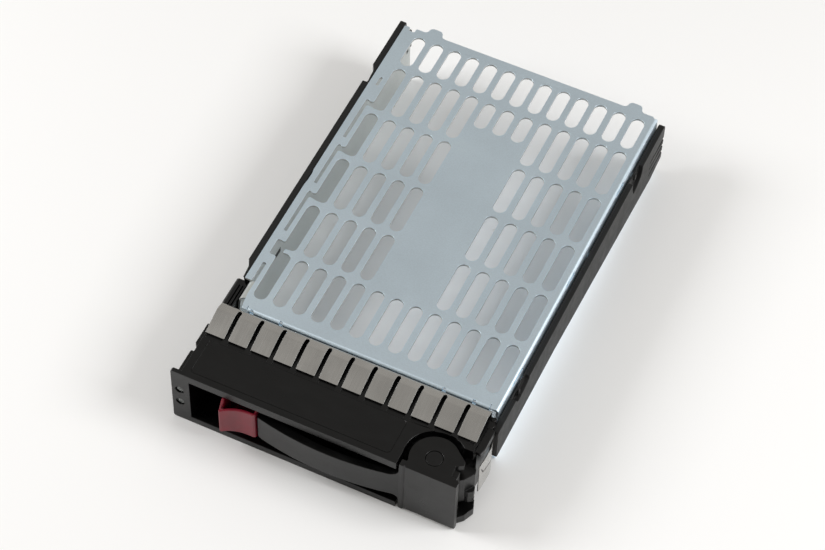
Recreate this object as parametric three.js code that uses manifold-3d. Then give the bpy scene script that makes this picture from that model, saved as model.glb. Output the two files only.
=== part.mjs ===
// A hot-swap carrier for a 3.5-inch hard disk drive, empty and lying open side down.
// Millimetres. X runs to the right and Y to the rear, seen from the bezel; Z points up. Outlines are
// written from the floor plate's front left corner (X = 0, Y = 0) and from the floor (Z = 0).
import * as THREE from "three";
import { mergeVertices } from "three/addons/utils/BufferGeometryUtils.js";
import Module from "manifold-3d";

const wasm = await Module();
wasm.setup();

// ---------- driving dimensions ----------
const GAP = 0.3; // clearance between pieces that touch on the real object
const OVER = 1.0; // how far a cutting tool runs past the face that it cuts

const PLATE_TOP = 31.4;
const PLATE_WIDTH = 99.4;
const PLATE_LENGTH = 146.7;
const SHEET = 1.0;
const PLATE_UNDER = PLATE_TOP - SHEET;

const BEZEL_TOP = 28.6;
const FRONT_Y = -33.2;
const BEZEL_LEFT = -11.1;
const BEZEL_SIDE = -7.4; // left side wall behind the front plate
const BEZEL_BACK = -1.3;
const BEZEL_RIGHT = 98.9;
const LIP_END = 76.9; // the lips above and below the recess end here, beside the lever
const LIP_T = 1.6; // thickness of the front plate's free left edge

const SLOT = { width: 5.16, pitch: 7.585, firstX: 3.5, columns: 13 };
const LONG_SLOT = 22.1;
const ROW_PITCH = 24.42;
const FIRST_ROW_Y = 17.0;
const REAR_ROW = { y: 135.6, length: 15.4 };
const SHORT_SLOT = { y: 118.8, length: 13.0 }; // fifth row, in front of it the plate stays solid
const SOLID_COLUMNS = [5, 6, 7];
const EAR = { radius: 2.7, reach: 3.0, centres: [7.4, 90.6] };

const FLANGE = { outer: -5.0, inner: -2.4, front: 12.3 };
const WALL_T = 0.8;
const SIDE_SLOT = { left: -2.4, right: -0.85 };

const RAIL_REAR = 148.8;
const LEFT_RAIL = { outer: -7.7, inner: -5.3, bottom: 10.2, top: 31.1, front: 12.6 };
const RIGHT_RAIL = { outer: 103.2, inner: 100.8, top: 27.1, front: -5.9 };
const RAIL_STEP = 1.9; // depth of the notches in the left rail's outer side

const RECESS = { left: -3.9, bottom: 3.2, top: 24.7, back: -17.5 };
const LIGHT = { x: -7.95, zs: [17.9, 10.5], radius: 1.7 };

const FINGER = { count: 12, pitch: 8.94, gap: 1.65, firstX: -7.35, tip: -13.5, thickness: 0.35 };

const PIVOT = { x: 87.9, y: -25.6 };
const HUB = { radius: 9.0, room: 11.2, plate: 2.8 };
const CLAW_ROOM = 15.8; // radius that the claws need as they swing
const CLAW_ROOM_TOP = 23.2;
const LEVER = { left: 23.1, strip: 77.9, root: 79.8, right: 99.6, bottom: 8.5, top: 21.0 };
const HANDLE = { bow: 3.1, thickness: 2.6 };
const LEVER_UNDER = 0.4; // the lever clears the floor by this much
const PIN = { head: 3.0, shaft: 2.0, play: 0.08 };

const BUTTON = { left: 9.3, right: 22.5, bottom: 8.0, top: 23.2, front: -36.9, back: -19.4 };

// The object's own box in X and Y, from its outermost pieces.
const EXTENT_X = [BEZEL_LEFT, RIGHT_RAIL.outer];
const EXTENT_Y = [BUTTON.front, PLATE_LENGTH + EAR.reach];

// ---------- materials ----------
const finish = (color, roughness, metalness) =>
  new THREE.MeshStandardMaterial({ color, roughness, metalness });
const ZINC = finish(0xa8b2bc, 0.42, 1);
const SPRING_STEEL = finish(0xa09d96, 0.35, 1);
const BLACK = finish(0x232425, 0.55, 0);
const BURGUNDY = finish(0x73414e, 0.45, 0);
const CLEAR = finish(0xc8d2d0, 0.15, 0);
const STEEL = finish(0x8f9296, 0.3, 1);

// ---------- solids ----------
// A closed geometry as a manifold solid.
function solid(geometry) {
  const bare = new THREE.BufferGeometry().setAttribute("position", geometry.getAttribute("position"));
  if (geometry.index) bare.setIndex(geometry.index);
  const merged = mergeVertices(bare, 1e-4);
  const mesh = new wasm.Mesh({
    numProp: 3,
    vertProperties: merged.attributes.position.array,
    triVerts: new Uint32Array(merged.index.array),
  });
  return new wasm.Manifold(mesh);
}

function box([x0, x1], [y0, y1], [z0, z1]) {
  const geometry = new THREE.BoxGeometry(x1 - x0, y1 - y0, z1 - z0);
  geometry.translate((x0 + x1) / 2, (y0 + y1) / 2, (z0 + z1) / 2);
  return solid(geometry);
}

const outline = (points) => new THREE.Shape(points.map(([a, b]) => new THREE.Vector2(a, b)));

// An outline in X and Y, standing from z0 to z1.
function slab(shape, [z0, z1], curveSegments = 6) {
  const geometry = new THREE.ExtrudeGeometry(shape, { depth: z1 - z0, bevelEnabled: false, curveSegments });
  geometry.translate(0, 0, z0);
  return solid(geometry);
}

// An outline in Y and Z, running from x0 to x1.
function bar(shape, [x0, x1], curveSegments = 6) {
  const geometry = new THREE.ExtrudeGeometry(shape, { depth: x1 - x0, bevelEnabled: false, curveSegments });
  geometry.applyMatrix4(new THREE.Matrix4().set(0, 0, 1, x0, 1, 0, 0, 0, 0, 1, 0, 0, 0, 0, 0, 1));
  return solid(geometry);
}

function roundZ([x, y], radius, [z0, z1], sides = 24) {
  const geometry = new THREE.CylinderGeometry(radius, radius, z1 - z0, sides);
  geometry.rotateX(Math.PI / 2);
  geometry.translate(x, y, (z0 + z1) / 2);
  return solid(geometry);
}

function roundY([x, z], radius, [y0, y1], sides = 16) {
  const geometry = new THREE.CylinderGeometry(radius, radius, y1 - y0, sides);
  geometry.translate(x, (y0 + y1) / 2, z);
  return solid(geometry);
}

function roundX([y, z], radius, [x0, x1], sides = 16) {
  const geometry = new THREE.CylinderGeometry(radius, radius, x1 - x0, sides);
  geometry.rotateZ(Math.PI / 2);
  geometry.translate((x0 + x1) / 2, y, z);
  return solid(geometry);
}

// A slot with round ends, long in Y, as an outline.
function slotShape(x, y, width, length) {
  const r = width / 2;
  const straight = length / 2 - r;
  const shape = new THREE.Shape();
  shape.absarc(x, y + straight, r, 0, Math.PI);
  shape.absarc(x, y - straight, r, Math.PI, 2 * Math.PI);
  return shape;
}

const joined = (solids) => solids.reduce((all, next) => all.add(next));
const cut = (body, tools) => tools.reduce((left, tool) => left.subtract(tool), body);

// A coil of round wire. toPoint places a point given along the coil's axis and across it in two
// directions; tails are the free ends of the wire, before the first turn and after the last.
function coil({ turns, radius, length, wire, toPoint, tails = [] }) {
  const steps = Math.round(turns * 10);
  const points = [];
  for (let i = 0; i <= steps; i++) {
    const angle = (2 * Math.PI * turns * i) / steps;
    points.push(toPoint((length * i) / steps, radius * Math.cos(angle), radius * Math.sin(angle)));
  }
  const [head, tail] = tails;
  if (head) points.unshift(head);
  if (tail) points.push(tail);
  const path = new THREE.CatmullRomCurve3(points);
  const ring = new THREE.Shape();
  ring.absarc(0, 0, wire / 2, 0, 2 * Math.PI);
  const options = { steps: steps + 4, extrudePath: path, curveSegments: 3, bevelEnabled: false };
  return solid(new THREE.ExtrudeGeometry(ring, options));
}

// ---------- the object ----------
const middle = ([low, high]) => (low + high) / 2;

const root = new THREE.Group();
root.position.set(-middle(EXTENT_X), -middle(EXTENT_Y), 0);

// Adds a solid to the object as one named piece.
function part(name, body, material) {
  const made = body.getMesh();
  const geometry = new THREE.BufferGeometry();
  geometry.setAttribute("position", new THREE.BufferAttribute(new Float32Array(made.vertProperties), 3));
  geometry.setIndex(new THREE.BufferAttribute(new Uint32Array(made.triVerts), 1));
  geometry.computeVertexNormals();
  const mesh = new THREE.Mesh(geometry, material);
  mesh.name = name;
  root.add(mesh);
}

const columnX = (column) => SLOT.firstX + SLOT.pitch * column;
const rowY = (row) => FIRST_ROW_Y + ROW_PITCH * row;

// The centre, width and length of every ventilation slot.
function ventilationSlots() {
  const slots = [];
  for (let column = 0; column < SLOT.columns; column++) {
    const central = SOLID_COLUMNS.includes(column);
    slots.push([columnX(column), REAR_ROW.y, REAR_ROW.length]);
    slots.push([columnX(column), rowY(0), LONG_SLOT]);
    if (central) slots.push([columnX(column), SHORT_SLOT.y, SHORT_SLOT.length]);
    for (let row = 1; row <= 4 && !central; row++) slots.push([columnX(column), rowY(row), LONG_SLOT]);
  }
  return slots;
}

// The narrow slots along the left wall; all but the first turn into the first column at their rear.
const SIDE_SLOTS = [
  { y: [11.3, 21.4], hooked: false },
  { y: [37.4, 58.0], hooked: true },
  { y: [61.9, 82.6], hooked: true },
  { y: [86.2, 106.7], hooked: true },
];
const SIDE_HOOK = 2.9; // length of the stretch that joins the first column
const WIDE_NOTCH = [25.8, 33.3];
const REAR_NOTCH = 144.7;

function leftEdgeCuts(z) {
  const reach = [SIDE_SLOT.left, columnX(0)];
  const cuts = SIDE_SLOTS.map(({ y }) => box([SIDE_SLOT.left, SIDE_SLOT.right], y, z));
  for (const { y, hooked } of SIDE_SLOTS) {
    if (hooked) cuts.push(box(reach, [y[1] - SIDE_HOOK, y[1]], z));
  }
  cuts.push(box(reach, WIDE_NOTCH, z));
  cuts.push(box([FLANGE.inner - 0.2, -0.3], [REAR_NOTCH, PLATE_LENGTH + OVER], z));
  return cuts;
}

function floorPlate() {
  const z = [PLATE_UNDER, PLATE_TOP];
  const through = [PLATE_UNDER - OVER, PLATE_TOP + OVER];
  const sheet = box([0, PLATE_WIDTH - 0.5], [0, PLATE_LENGTH], z);
  const flange = box([FLANGE.outer, 0.1], [FLANGE.front, PLATE_LENGTH - 0.1], z);
  const ears = EAR.centres.map((x) => roundZ([x, PLATE_LENGTH + EAR.reach - EAR.radius], EAR.radius, z, 16));
  const slots = ventilationSlots().map(([x, y, long]) => slab(slotShape(x, y, SLOT.width, long), through, 3));
  return cut(joined([sheet, flange, ...ears]), [...slots, ...leftEdgeCuts(through)]);
}

// The right wall is folded down from the plate over a rounded edge.
function rightWall() {
  const fold = 1.6;
  const outer = PLATE_WIDTH + SHEET;
  const inPlate = PLATE_WIDTH - 0.6; // the section starts inside the plate
  const side = new THREE.Shape();
  side.moveTo(inPlate, PLATE_TOP);
  side.lineTo(outer - fold, PLATE_TOP);
  side.absarc(outer - fold, PLATE_TOP - fold, fold, Math.PI / 2, 0, true);
  side.lineTo(outer, 0);
  side.lineTo(outer - SHEET, 0);
  side.lineTo(outer - SHEET, PLATE_TOP - fold);
  side.absarc(outer - fold, PLATE_TOP - fold, fold - SHEET, 0, Math.PI / 2);
  side.lineTo(inPlate, PLATE_UNDER);
  const options = { depth: PLATE_LENGTH, bevelEnabled: false, curveSegments: 4 };
  const geometry = new THREE.ExtrudeGeometry(side, options);
  geometry.rotateX(Math.PI / 2);
  geometry.translate(0, PLATE_LENGTH, 0);
  return solid(geometry);
}

const DRIVE_HOLES = [20.6, 80.5, 122.1]; // fixing holes of the drive, from its front end
const DRIVE_HOLE_Z = PLATE_UNDER - 6.35;
const driveHoles = (x) => DRIVE_HOLES.map((y) => roundX([y, DRIVE_HOLE_Z], 1.75, x, 14));

const BEZEL_SCREW_X = [34, 53, 72, 92];
const BEZEL_SCREW_Z = 15.5;
const FRONT_FLANGE = { x: [2, 97], bottom: 8 };
const FOLD_SLITS = [[12.0, 21.0], [59.6, 67.4], [106.2, 113.4]];

function trayPan() {
  const frontFlange = box(FRONT_FLANGE.x, [0, SHEET], [FRONT_FLANGE.bottom, PLATE_UNDER + 0.2]);
  const flangeHoles = BEZEL_SCREW_X.map((x) => roundY([x, BEZEL_SCREW_Z], 1.7, [-OVER, SHEET + OVER], 14));
  const foldSlits = FOLD_SLITS.map((y) =>
    box([PLATE_WIDTH - 0.4, PLATE_WIDTH + 0.5], y, [PLATE_UNDER - 3, PLATE_TOP + OVER]),
  );
  const through = [PLATE_WIDTH - 2, PLATE_WIDTH + 2];
  const wall = cut(rightWall(), [...driveHoles(through), ...windows(RIGHT_HOOKS, through)]);
  return cut(joined([floorPlate(), wall, cut(frontFlange, flangeHoles)]), foldSlits);
}

// The rails snap on: their hooks, given by their ranges in Y and Z, reach into windows of the walls.
const LEFT_HOOKS = [
  { y: [143.2, 144.4], z: [27.0, 28.8] },
  { y: [143.2, 144.4], z: [19.4, 20.8] },
  { y: [90.0, 94.0], z: [21.2, 23.4] },
  { y: [31.0, 35.0], z: [21.2, 23.4] },
];
const RIGHT_HOOKS = [107.0, 61.0, 24.0].map((y) => ({ y: [y, y + 5.6], z: [22.6, 24.8] }));
// Two more hooks go round the left wall's rear edge.
const REAR_HOOKS = [[27.0, 28.8], [19.4, 20.8]].map((z) => ({ y: [PLATE_LENGTH, PLATE_LENGTH + 1], z }));

const wider = ([a, b], by = GAP) => [a - by, b + by];
const windows = (hooks, x) => hooks.map(({ y, z }) => box(x, wider(y), wider(z)));

function leftWall() {
  const wall = box([FLANGE.inner - WALL_T, FLANGE.inner], [3, PLATE_LENGTH - GAP], [0, PLATE_UNDER - GAP]);
  const through = [FLANGE.inner - 2, FLANGE.inner + OVER];
  return cut(wall, [...windows(LEFT_HOOKS, through), ...driveHoles(through)]);
}

// ---------- rails ----------
const PIPE_CLIP = { y: [137.0, 141.0], z: [7.8, 21.0] };
const PIPE_CHANNEL = [16.4, 30.4]; // the groove in the left rail that the upper light guide runs in
const LEFT_NOTCHES = [
  { from: 12.0, to: 20.6, corner: 17.8 },
  { from: 114.6, to: 123.6, corner: 121.4 },
];

// Plan of a notch in the left rail's outer side, sloping back out at its rear end.
function railNotch({ from, to, corner }) {
  const deep = LEFT_RAIL.outer + RAIL_STEP;
  const outside = LEFT_RAIL.outer - OVER;
  return outline([[outside, from], [deep, from], [deep - 0.4, corner], [LEFT_RAIL.outer, to], [outside, to]]);
}

function leftRail() {
  const { outer, inner, bottom, top, front } = LEFT_RAIL;
  const body = box([outer, inner], [front, RAIL_REAR], [bottom, top]);
  const panels = [[34, 68], [78, 112]].map((y) => box([outer - OVER, outer + 1.1], y, [bottom + 4, top - 4]));
  const notches = LEFT_NOTCHES.map((notch) => slab(railNotch(notch), [bottom - OVER, top + OVER]));
  const channel = box([inner - 0.6, inner + OVER], [front - OVER, RAIL_REAR - 3], PIPE_CHANNEL);
  const clipRoom = box([inner - 1.0, inner + OVER], wider(PIPE_CLIP.y), wider(PIPE_CLIP.z, 0.4));
  const hookX = [inner - 0.8, FLANGE.inner - 0.1];
  const hooks = [...LEFT_HOOKS, ...REAR_HOOKS].map(({ y, z }) => box(hookX, y, z));
  return joined([cut(body, [...panels, ...notches, channel, clipRoom]), ...hooks]);
}

// The right rail's lower edge, as Y and Z: the rail gets deeper towards the rear.
const RAIL_FOOT = { front: 11.6, level: 45, deepest: [138, 5.4], rear: 7.6 };
const RIB = { count: 4, pitch: 3.8, gap: 1.2, front: 135, first: 19.5 };
const CLIP_NOTCHES = [[9.5, 21.5], [116.5, 126]];

// Four ribs at the rear end, with grooves between them.
function railGrooves() {
  const x = [RIGHT_RAIL.inner + 0.9, RIGHT_RAIL.outer + OVER];
  const grooves = [];
  for (let i = 0; i < RIB.count - 1; i++) {
    const top = RIB.first - RIB.pitch * i;
    grooves.push(box(x, [RIB.front, RAIL_REAR + OVER], [top - RIB.gap, top]));
  }
  return grooves;
}

// The leaf-shaped notch in the right rail's top edge, seen from the side.
function clipNotch([from, to]) {
  const { top } = RIGHT_RAIL;
  return outline([
    [from, top - 7.4], [from + 1.2, top - 7.6], [to - 1, top - 5.4],
    [to, top - 2], [to, top + OVER], [from + 3.4, top + OVER], [from + 1.4, top - 3],
  ]);
}

function rightRail() {
  const { outer, inner, top, front } = RIGHT_RAIL;
  const foot = [[front, RAIL_FOOT.front], [RAIL_FOOT.level, RAIL_FOOT.front], RAIL_FOOT.deepest];
  const side = outline([...foot, [RAIL_REAR, RAIL_FOOT.rear], [RAIL_REAR, top], [front, top]]);
  const body = bar(side, [inner, outer]);
  const notches = CLIP_NOTCHES.map((y) => bar(clipNotch(y), [inner + 0.8, outer + OVER]));
  const hooks = RIGHT_HOOKS.map(({ y, z }) => box([PLATE_WIDTH + 0.1, inner + 0.5], y, z));
  return joined([cut(body, [...railGrooves(), ...notches]), ...hooks]);
}

// ---------- bezel ----------
const LUG = { outer: -9.5, ys: [[-31.8, -20.8], [-18.8, -8.0]], z: [2.5, 26.0] };
const SIDE_ARM = { x: [99.3, 102.1], y: [-17.3, -6.3], z: [25.7, 28.8] };
const ARM_ROOT = { x: [96, 100.4], y: [-14.0, -1.6] };
const BOSS = { left: 80.6, radius: 4.5, z: [9.2, 25.0] };
const HOLLOW = { front: -14.5, right: { x: [84, 96], front: -8.5 }, z: [2.6, 24.8] };
const POCKET = { front: -18.2, depth: 0.9, rim: 0.4 };
const RETAINER = { x: [-4.4, 28.6], z: [3.6, 25.0], y: [-2.9, -1.3], screws: [[-2.6, 20.0], [26.8, 20.0]] };
const LIGHT_PASSAGE = 1.5; // half the height of the passages for the light guides

const fingerX = (i) => FINGER.firstX + FINGER.pitch * i;

function bezelOutline() {
  return outline([
    [BEZEL_LEFT, FRONT_Y], [LIP_END, FRONT_Y], [LIP_END, PIVOT.y], [BEZEL_RIGHT, PIVOT.y],
    [BEZEL_RIGHT, BEZEL_BACK], [BEZEL_SIDE, BEZEL_BACK],
    [BEZEL_SIDE, FRONT_Y + LIP_T], [BEZEL_LEFT, FRONT_Y + LIP_T],
  ]);
}

// The claws swing through the right half of a disc round the pivot.
function clawRoom() {
  const shape = new THREE.Shape();
  shape.absarc(PIVOT.x, PIVOT.y, CLAW_ROOM, -Math.PI / 2, Math.PI / 2);
  return slab(shape, [-OVER, CLAW_ROOM_TOP], 8);
}

// The shallow steps in the bezel's top that the fingers can dip into.
function fingerPockets() {
  const pockets = [];
  for (let i = 0; i < FINGER.count; i++) {
    const left = i === 0 ? BEZEL_SIDE + 0.8 : fingerX(i) + POCKET.rim;
    const x = [left, fingerX(i) + FINGER.pitch - FINGER.gap - POCKET.rim];
    pockets.push(box(x, [POCKET.front, BEZEL_BACK + OVER], [BEZEL_TOP - POCKET.depth, BEZEL_TOP + OVER]));
  }
  return pockets;
}

// The column that the lever turns on, with its arm back to the bezel's rear wall.
function pivotBoss() {
  return joined([
    roundZ([PIVOT.x, PIVOT.y], BOSS.radius, BOSS.z),
    box([BOSS.left, PIVOT.x], [PIVOT.y, -15.6], BOSS.z),
    box([BOSS.left - 4, BOSS.left + 3], [-17.6, -9.0], BOSS.z),
  ]);
}

// What is taken out of the bezel's block: the recess, the lever's room, and the rear's hollows.
function bezelHollows() {
  const all = [-OVER, BEZEL_TOP + OVER];
  const seat = box(wider(RETAINER.x), [RETAINER.y[0] - GAP, 0], wider(RETAINER.z));
  return [
    box([RECESS.left, PIVOT.x], [FRONT_Y - OVER, RECESS.back], [RECESS.bottom, RECESS.top]),
    roundZ([PIVOT.x, PIVOT.y], HUB.room, all, 32),
    clawRoom(),
    box([PIVOT.x, BEZEL_RIGHT + OVER], [FRONT_Y, SIDE_ARM.y[0]], all),
    box([RETAINER.x[0] + 4.2, RETAINER.x[1] - 4.2], [RECESS.back - OVER, RETAINER.y[0]], [5.6, 22.6]),
    seat,
    box([30.5, 76], [HOLLOW.front, 0], HOLLOW.z),
    box(HOLLOW.right.x, [HOLLOW.right.front, 0], HOLLOW.z),
    ...fingerPockets(),
  ];
}

function bezelHoles() {
  const pin = roundZ([PIVOT.x, PIVOT.y], PIN.shaft + PIN.play, [0, BEZEL_TOP], 20);
  const screws = BEZEL_SCREW_X.map((x) => roundY([x, BEZEL_SCREW_Z], 1.3, [-10, 0], 12));
  const retainerScrews = RETAINER.screws.map(([x, z]) => roundY([x, z], 1.0, [-8, 0], 12));
  const lights = LIGHT.zs.map((z) => roundY([LIGHT.x, z], LIGHT.radius, [FRONT_Y - OVER, FRONT_Y + 2], 18));
  const passages = LIGHT.zs.map((z) =>
    box([BEZEL_SIDE - OVER, BEZEL_SIDE + 2.4], [FRONT_Y + 1.4, 0], [z - LIGHT_PASSAGE, z + LIGHT_PASSAGE]),
  );
  return [pin, ...screws, ...retainerScrews, ...lights, ...passages];
}

function bezelFrame() {
  const block = slab(bezelOutline(), [0, BEZEL_TOP]);
  const lugs = LUG.ys.map((y) => box([LUG.outer, BEZEL_SIDE + 0.1], y, LUG.z));
  const screwPosts = BEZEL_SCREW_X.map((x) => {
    const front = x < PIVOT.x ? HOLLOW.front : HOLLOW.right.front;
    return box([x - 3, x + 3], [front - 0.5, BEZEL_BACK], [11, 20]);
  });
  const arm = joined([
    box(SIDE_ARM.x, SIDE_ARM.y, SIDE_ARM.z),
    box(ARM_ROOT.x, ARM_ROOT.y, [SIDE_ARM.z[0], BEZEL_TOP]),
  ]);
  const hollowed = cut(joined([block, ...lugs]), bezelHollows());
  return cut(joined([hollowed, pivotBoss(), arm, ...screwPosts]), bezelHoles());
}

// ---------- shielding ----------
// One sheet: a leg held between bezel and pan, and twelve fingers that bow up and forward from it.
const STRIP_LEG = { y: -0.4, bottom: 24.5 };
// The bow of a finger from its root to its tip, with its height counted from the floor plate's top.
const FINGER_BOW = [
  [STRIP_LEG.y, -2.1], [-1.8, -1.0], [-2.8, -0.2], [-3.5, 0.3], [-4.3, 0.45], [-5.5, 0.25], [-8.1, -0.5],
  [FINGER.tip, -2.4],
];

function fingerProfile() {
  const { y, bottom } = STRIP_LEG;
  const t = FINGER.thickness;
  const top = FINGER_BOW.map(([a, rise]) => [a, PLATE_TOP + rise]);
  const under = top.slice(1).reverse().map(([a, z]) => [a, z - t]);
  return outline([[y, bottom], ...top, ...under, [y - t, top[0][1] - t], [y - t, bottom]]);
}

function emiTopStrip() {
  const sheet = bar(fingerProfile(), [FINGER.firstX, fingerX(FINGER.count) - FINGER.gap]);
  const gaps = [];
  for (let i = 1; i < FINGER.count; i++) {
    const x = [fingerX(i) - FINGER.gap, fingerX(i)];
    gaps.push(box(x, [FINGER.tip - OVER, STRIP_LEG.y - FINGER.thickness], [PLATE_TOP - 6, PLATE_TOP + OVER]));
  }
  const corner = box([FINGER.firstX - OVER, 0.5], [-0.9, OVER], [STRIP_LEG.bottom - OVER, 27]);
  return cut(sheet, [...gaps, corner]);
}

// A sheet rooted between wall and rail that bows out beside the bezel, split by one slit.
function emiSideSpring() {
  const t = FINGER.thickness;
  const line = [[100.77, 1.2], [100.77, -6.2], [102.1, -7.6], [102.75, -10.5], [102.7, -14], [102.35, -19.4]];
  const inner = [...line].reverse().map(([x, y]) => [x - t, y]);
  const across = [99, 104];
  const sheet = slab(outline([...line, ...inner].reverse()), [7.6, 23.8]);
  const slit = box(across, [-17.0, -8.2], [16.4, 17.0]);
  return cut(sheet, [slit]);
}

// ---------- light guides ----------
const PIPE = { half: 1.1, x: [-4.95, -3.85], rear: 146.2 };

function lightPipe(height) {
  const z = [height - PIPE.half, height + PIPE.half];
  const behind = box(PIPE.x, [10, PIPE.rear], z);
  const bend = slab(outline([[PIPE.x[0], 10.2], [-7.0, -3.4], [-5.5, -3.4], [PIPE.x[1], 10.2]]), z);
  const front = box([BEZEL_SIDE + GAP, BEZEL_SIDE + 2.1], [FRONT_Y + 1.7, -3.2], z);
  const tip = roundY([LIGHT.x + 0.1, height], LIGHT.radius - 0.4, [FRONT_Y + 0.5, FRONT_Y + 1.95], 16);
  return joined([behind, bend, front, tip]);
}

function lightPipeHousing() {
  const plan = outline([[-8.0, -0.1], [-3.5, -0.1], [-3.5, 10.4], [-5.2, 12.0], [-8.0, 12.0]]);
  const body = slab(plan, [8.0, 29.2]);
  const ridges = [-6.6, -5.0, -3.9].map((x) => box([x - 0.3, x + 0.3], [0, 9.4], [29.0, 30.0]));
  const passages = LIGHT.zs.map((z) => box([-7.6, -3.1], [-2, 13], wider([z, z], PIPE.half + GAP)));
  return cut(joined([body, ...ridges]), passages);
}

// A comb between rail and wall, open towards the wall.
function lightPipeClip() {
  const body = box([LEFT_RAIL.inner - 0.7, FLANGE.inner - WALL_T - GAP], PIPE_CLIP.y, PIPE_CLIP.z);
  const y = wider(PIPE_CLIP.y, OVER);
  return cut(body, LIGHT.zs.map((z) => box([PIPE.x[0] - GAP, -3], y, wider([z, z], PIPE.half + GAP))));
}

// ---------- lever ----------
// The handle's front face bows forward between its two ends.
function handlePlan() {
  const { left, strip, root: end } = LEVER;
  const { bow, thickness } = HANDLE;
  const crown = [(left + strip) / 2, FRONT_Y - 2 * bow];
  const shape = new THREE.Shape();
  shape.moveTo(left, FRONT_Y);
  shape.quadraticCurveTo(...crown, strip, FRONT_Y);
  shape.lineTo(end + 1, FRONT_Y);
  shape.lineTo(end + 1, FRONT_Y + thickness);
  shape.lineTo(strip, FRONT_Y + thickness);
  shape.quadraticCurveTo(crown[0], crown[1] + thickness, left + 2.2, FRONT_Y + thickness + 0.8);
  shape.lineTo(left, FRONT_Y + thickness + 0.8);
  return shape;
}

// Round at the rear, square at the front, with a bite and an ear on its right side.
function hubPlan() {
  const { root: end, right } = LEVER;
  const shape = new THREE.Shape();
  shape.moveTo(end, FRONT_Y);
  shape.lineTo(right, FRONT_Y);
  shape.lineTo(right, -30.4);
  shape.lineTo(96.2, -29.4);
  shape.lineTo(95.8, -25.4);
  shape.lineTo(98.4, -23.8);
  shape.lineTo(98.0, -22.2);
  shape.lineTo(94.2, -19.2);
  shape.absarc(PIVOT.x, PIVOT.y, HUB.radius, Math.PI * 0.25, Math.PI * 1.15);
  return shape;
}

const CLAW = { upper: [8.6, 22.6], tooth: [11.6, 14.2], lower: [0.6, 4.6] };
const UPPER_CLAW = [
  [94.6, -28.4], [97.8, -28.4], [98.2, -26.4], [99.4, -25.5], [101.9, -21.6], [101.4, -19.8], [98.4, -19.2], [94.6, -20],
];
const CLAW_TOOTH = [[98, -25.6], [101.6, -25.2], [102.75, -24], [102.2, -22], [98, -21]];
const LOWER_CLAW = [
  [94.6, -31], [98.6, -31], [101.4, -28.2], [103.1, -24.2], [101.8, -20.8], [98.4, -20.2], [97.4, -23.6], [94.6, -26],
];

function ejectorLever() {
  const { strip, root: end, right, bottom, top } = LEVER;
  const at = [PIVOT.x, PIVOT.y];
  const height = [LEVER_UNDER, BEZEL_TOP];
  const face = [FRONT_Y, FRONT_Y + 2.4];
  const solids = [
    slab(handlePlan(), [bottom, top], 12),
    slab(hubPlan(), [BEZEL_TOP - HUB.plate, BEZEL_TOP], 12),
    slab(hubPlan(), [LEVER_UNDER, LEVER_UNDER + HUB.plate], 12),
    box([end, right], face, height),
    box([strip, end + 0.2], face, height),
    box([94.4, 98.0], [-31.4, -26.2], [LEVER_UNDER, BEZEL_TOP - OVER]),
    slab(outline(UPPER_CLAW), CLAW.upper),
    slab(outline(CLAW_TOOTH), CLAW.tooth),
    slab(outline(LOWER_CLAW), CLAW.lower),
  ];
  return cut(joined(solids), [
    roundZ(at, PIN.shaft + PIN.play, [-OVER, BEZEL_TOP + OVER], 20),
    roundZ(at, PIN.head + 0.2, [BEZEL_TOP - 1.3, BEZEL_TOP + OVER], 20),
    roundZ(at, 4.2, [0, 1.8], 20),
  ]);
}

const PIN_GROOVE = { depth: 0.45, z: [0.95, 1.45] };

function leverPin() {
  const at = [PIVOT.x, PIVOT.y];
  const shaft = roundZ(at, PIN.shaft, [LEVER_UNDER + 0.2, BEZEL_TOP - GAP], 20);
  const head = roundZ(at, PIN.head, [BEZEL_TOP - 1.0, BEZEL_TOP - 0.1], 20);
  const core = roundZ(at, PIN.shaft - PIN_GROOVE.depth, [0, 2], 20);
  return cut(shaft.add(head), [cut(roundZ(at, PIN.shaft + OVER, PIN_GROOVE.z, 20), [core])]);
}

// A retaining ring, open at one side, in the groove near the pin's lower end.
function leverPinClip() {
  const at = [PIVOT.x, PIVOT.y];
  const ring = roundZ(at, 3.7, wider(PIN_GROOVE.z, -0.07), 20);
  const mouth = box([PIVOT.x - 1.2, PIVOT.x + 1.2], [PIVOT.y - 5, PIVOT.y], [0, 2]);
  return cut(ring, [roundZ(at, PIN.shaft - 0.33, [0, 2], 20), mouth]);
}

// A torsion spring round the pin, between the boss and the lever's lower plate.
function leverSpring() {
  const radius = 3.4;
  const length = 4.2;
  const low = 4.1;
  const at = (axial, a, b) => new THREE.Vector3(PIVOT.x + a, PIVOT.y + b, low + axial);
  const tails = [at(0, radius, -4.6), at(length, -5.4, 8.9)];
  return coil({ turns: 3.14, radius, length, wire: 0.7, toPoint: at, tails });
}

// ---------- release button ----------
// Plan of the button: its front wall stands proud at the left and dips in the middle.
function buttonPlan() {
  const { left, right, front, back } = BUTTON;
  const shape = new THREE.Shape();
  shape.moveTo(left, front);
  shape.quadraticCurveTo(middle([left, right]) - 1, FRONT_Y - 0.2, right - 1.2, FRONT_Y - 0.4);
  shape.lineTo(right, FRONT_Y);
  shape.lineTo(right, back);
  shape.lineTo(left, back);
  return shape;
}

const LATCH_SPRING = { y: -23, z: 18, from: RECESS.left + 0.35, to: BUTTON.left + 0.8, wire: 0.5 };

function latchButton() {
  const { left, right, bottom, top } = BUTTON;
  const cheekTop = RECESS.top - 0.5;
  const body = slab(buttonPlan(), [bottom, top], 8);
  const inside = box([left + 1.8, right - 1.5], [-31.6, -21.4], [bottom + 2.2, top + OVER]);
  const cheek = bar(
    outline([[-22, top - 0.5], [-22, cheekTop], [-33.9, cheekTop], [-36.2, top - 0.5]]),
    [left, left + 1.6],
  );
  const springSeat = roundX([LATCH_SPRING.y, LATCH_SPRING.z], 2.9, [left - OVER, left + 1.2], 16);
  return cut(joined([body, cheek]), [inside, springSeat]);
}

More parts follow.
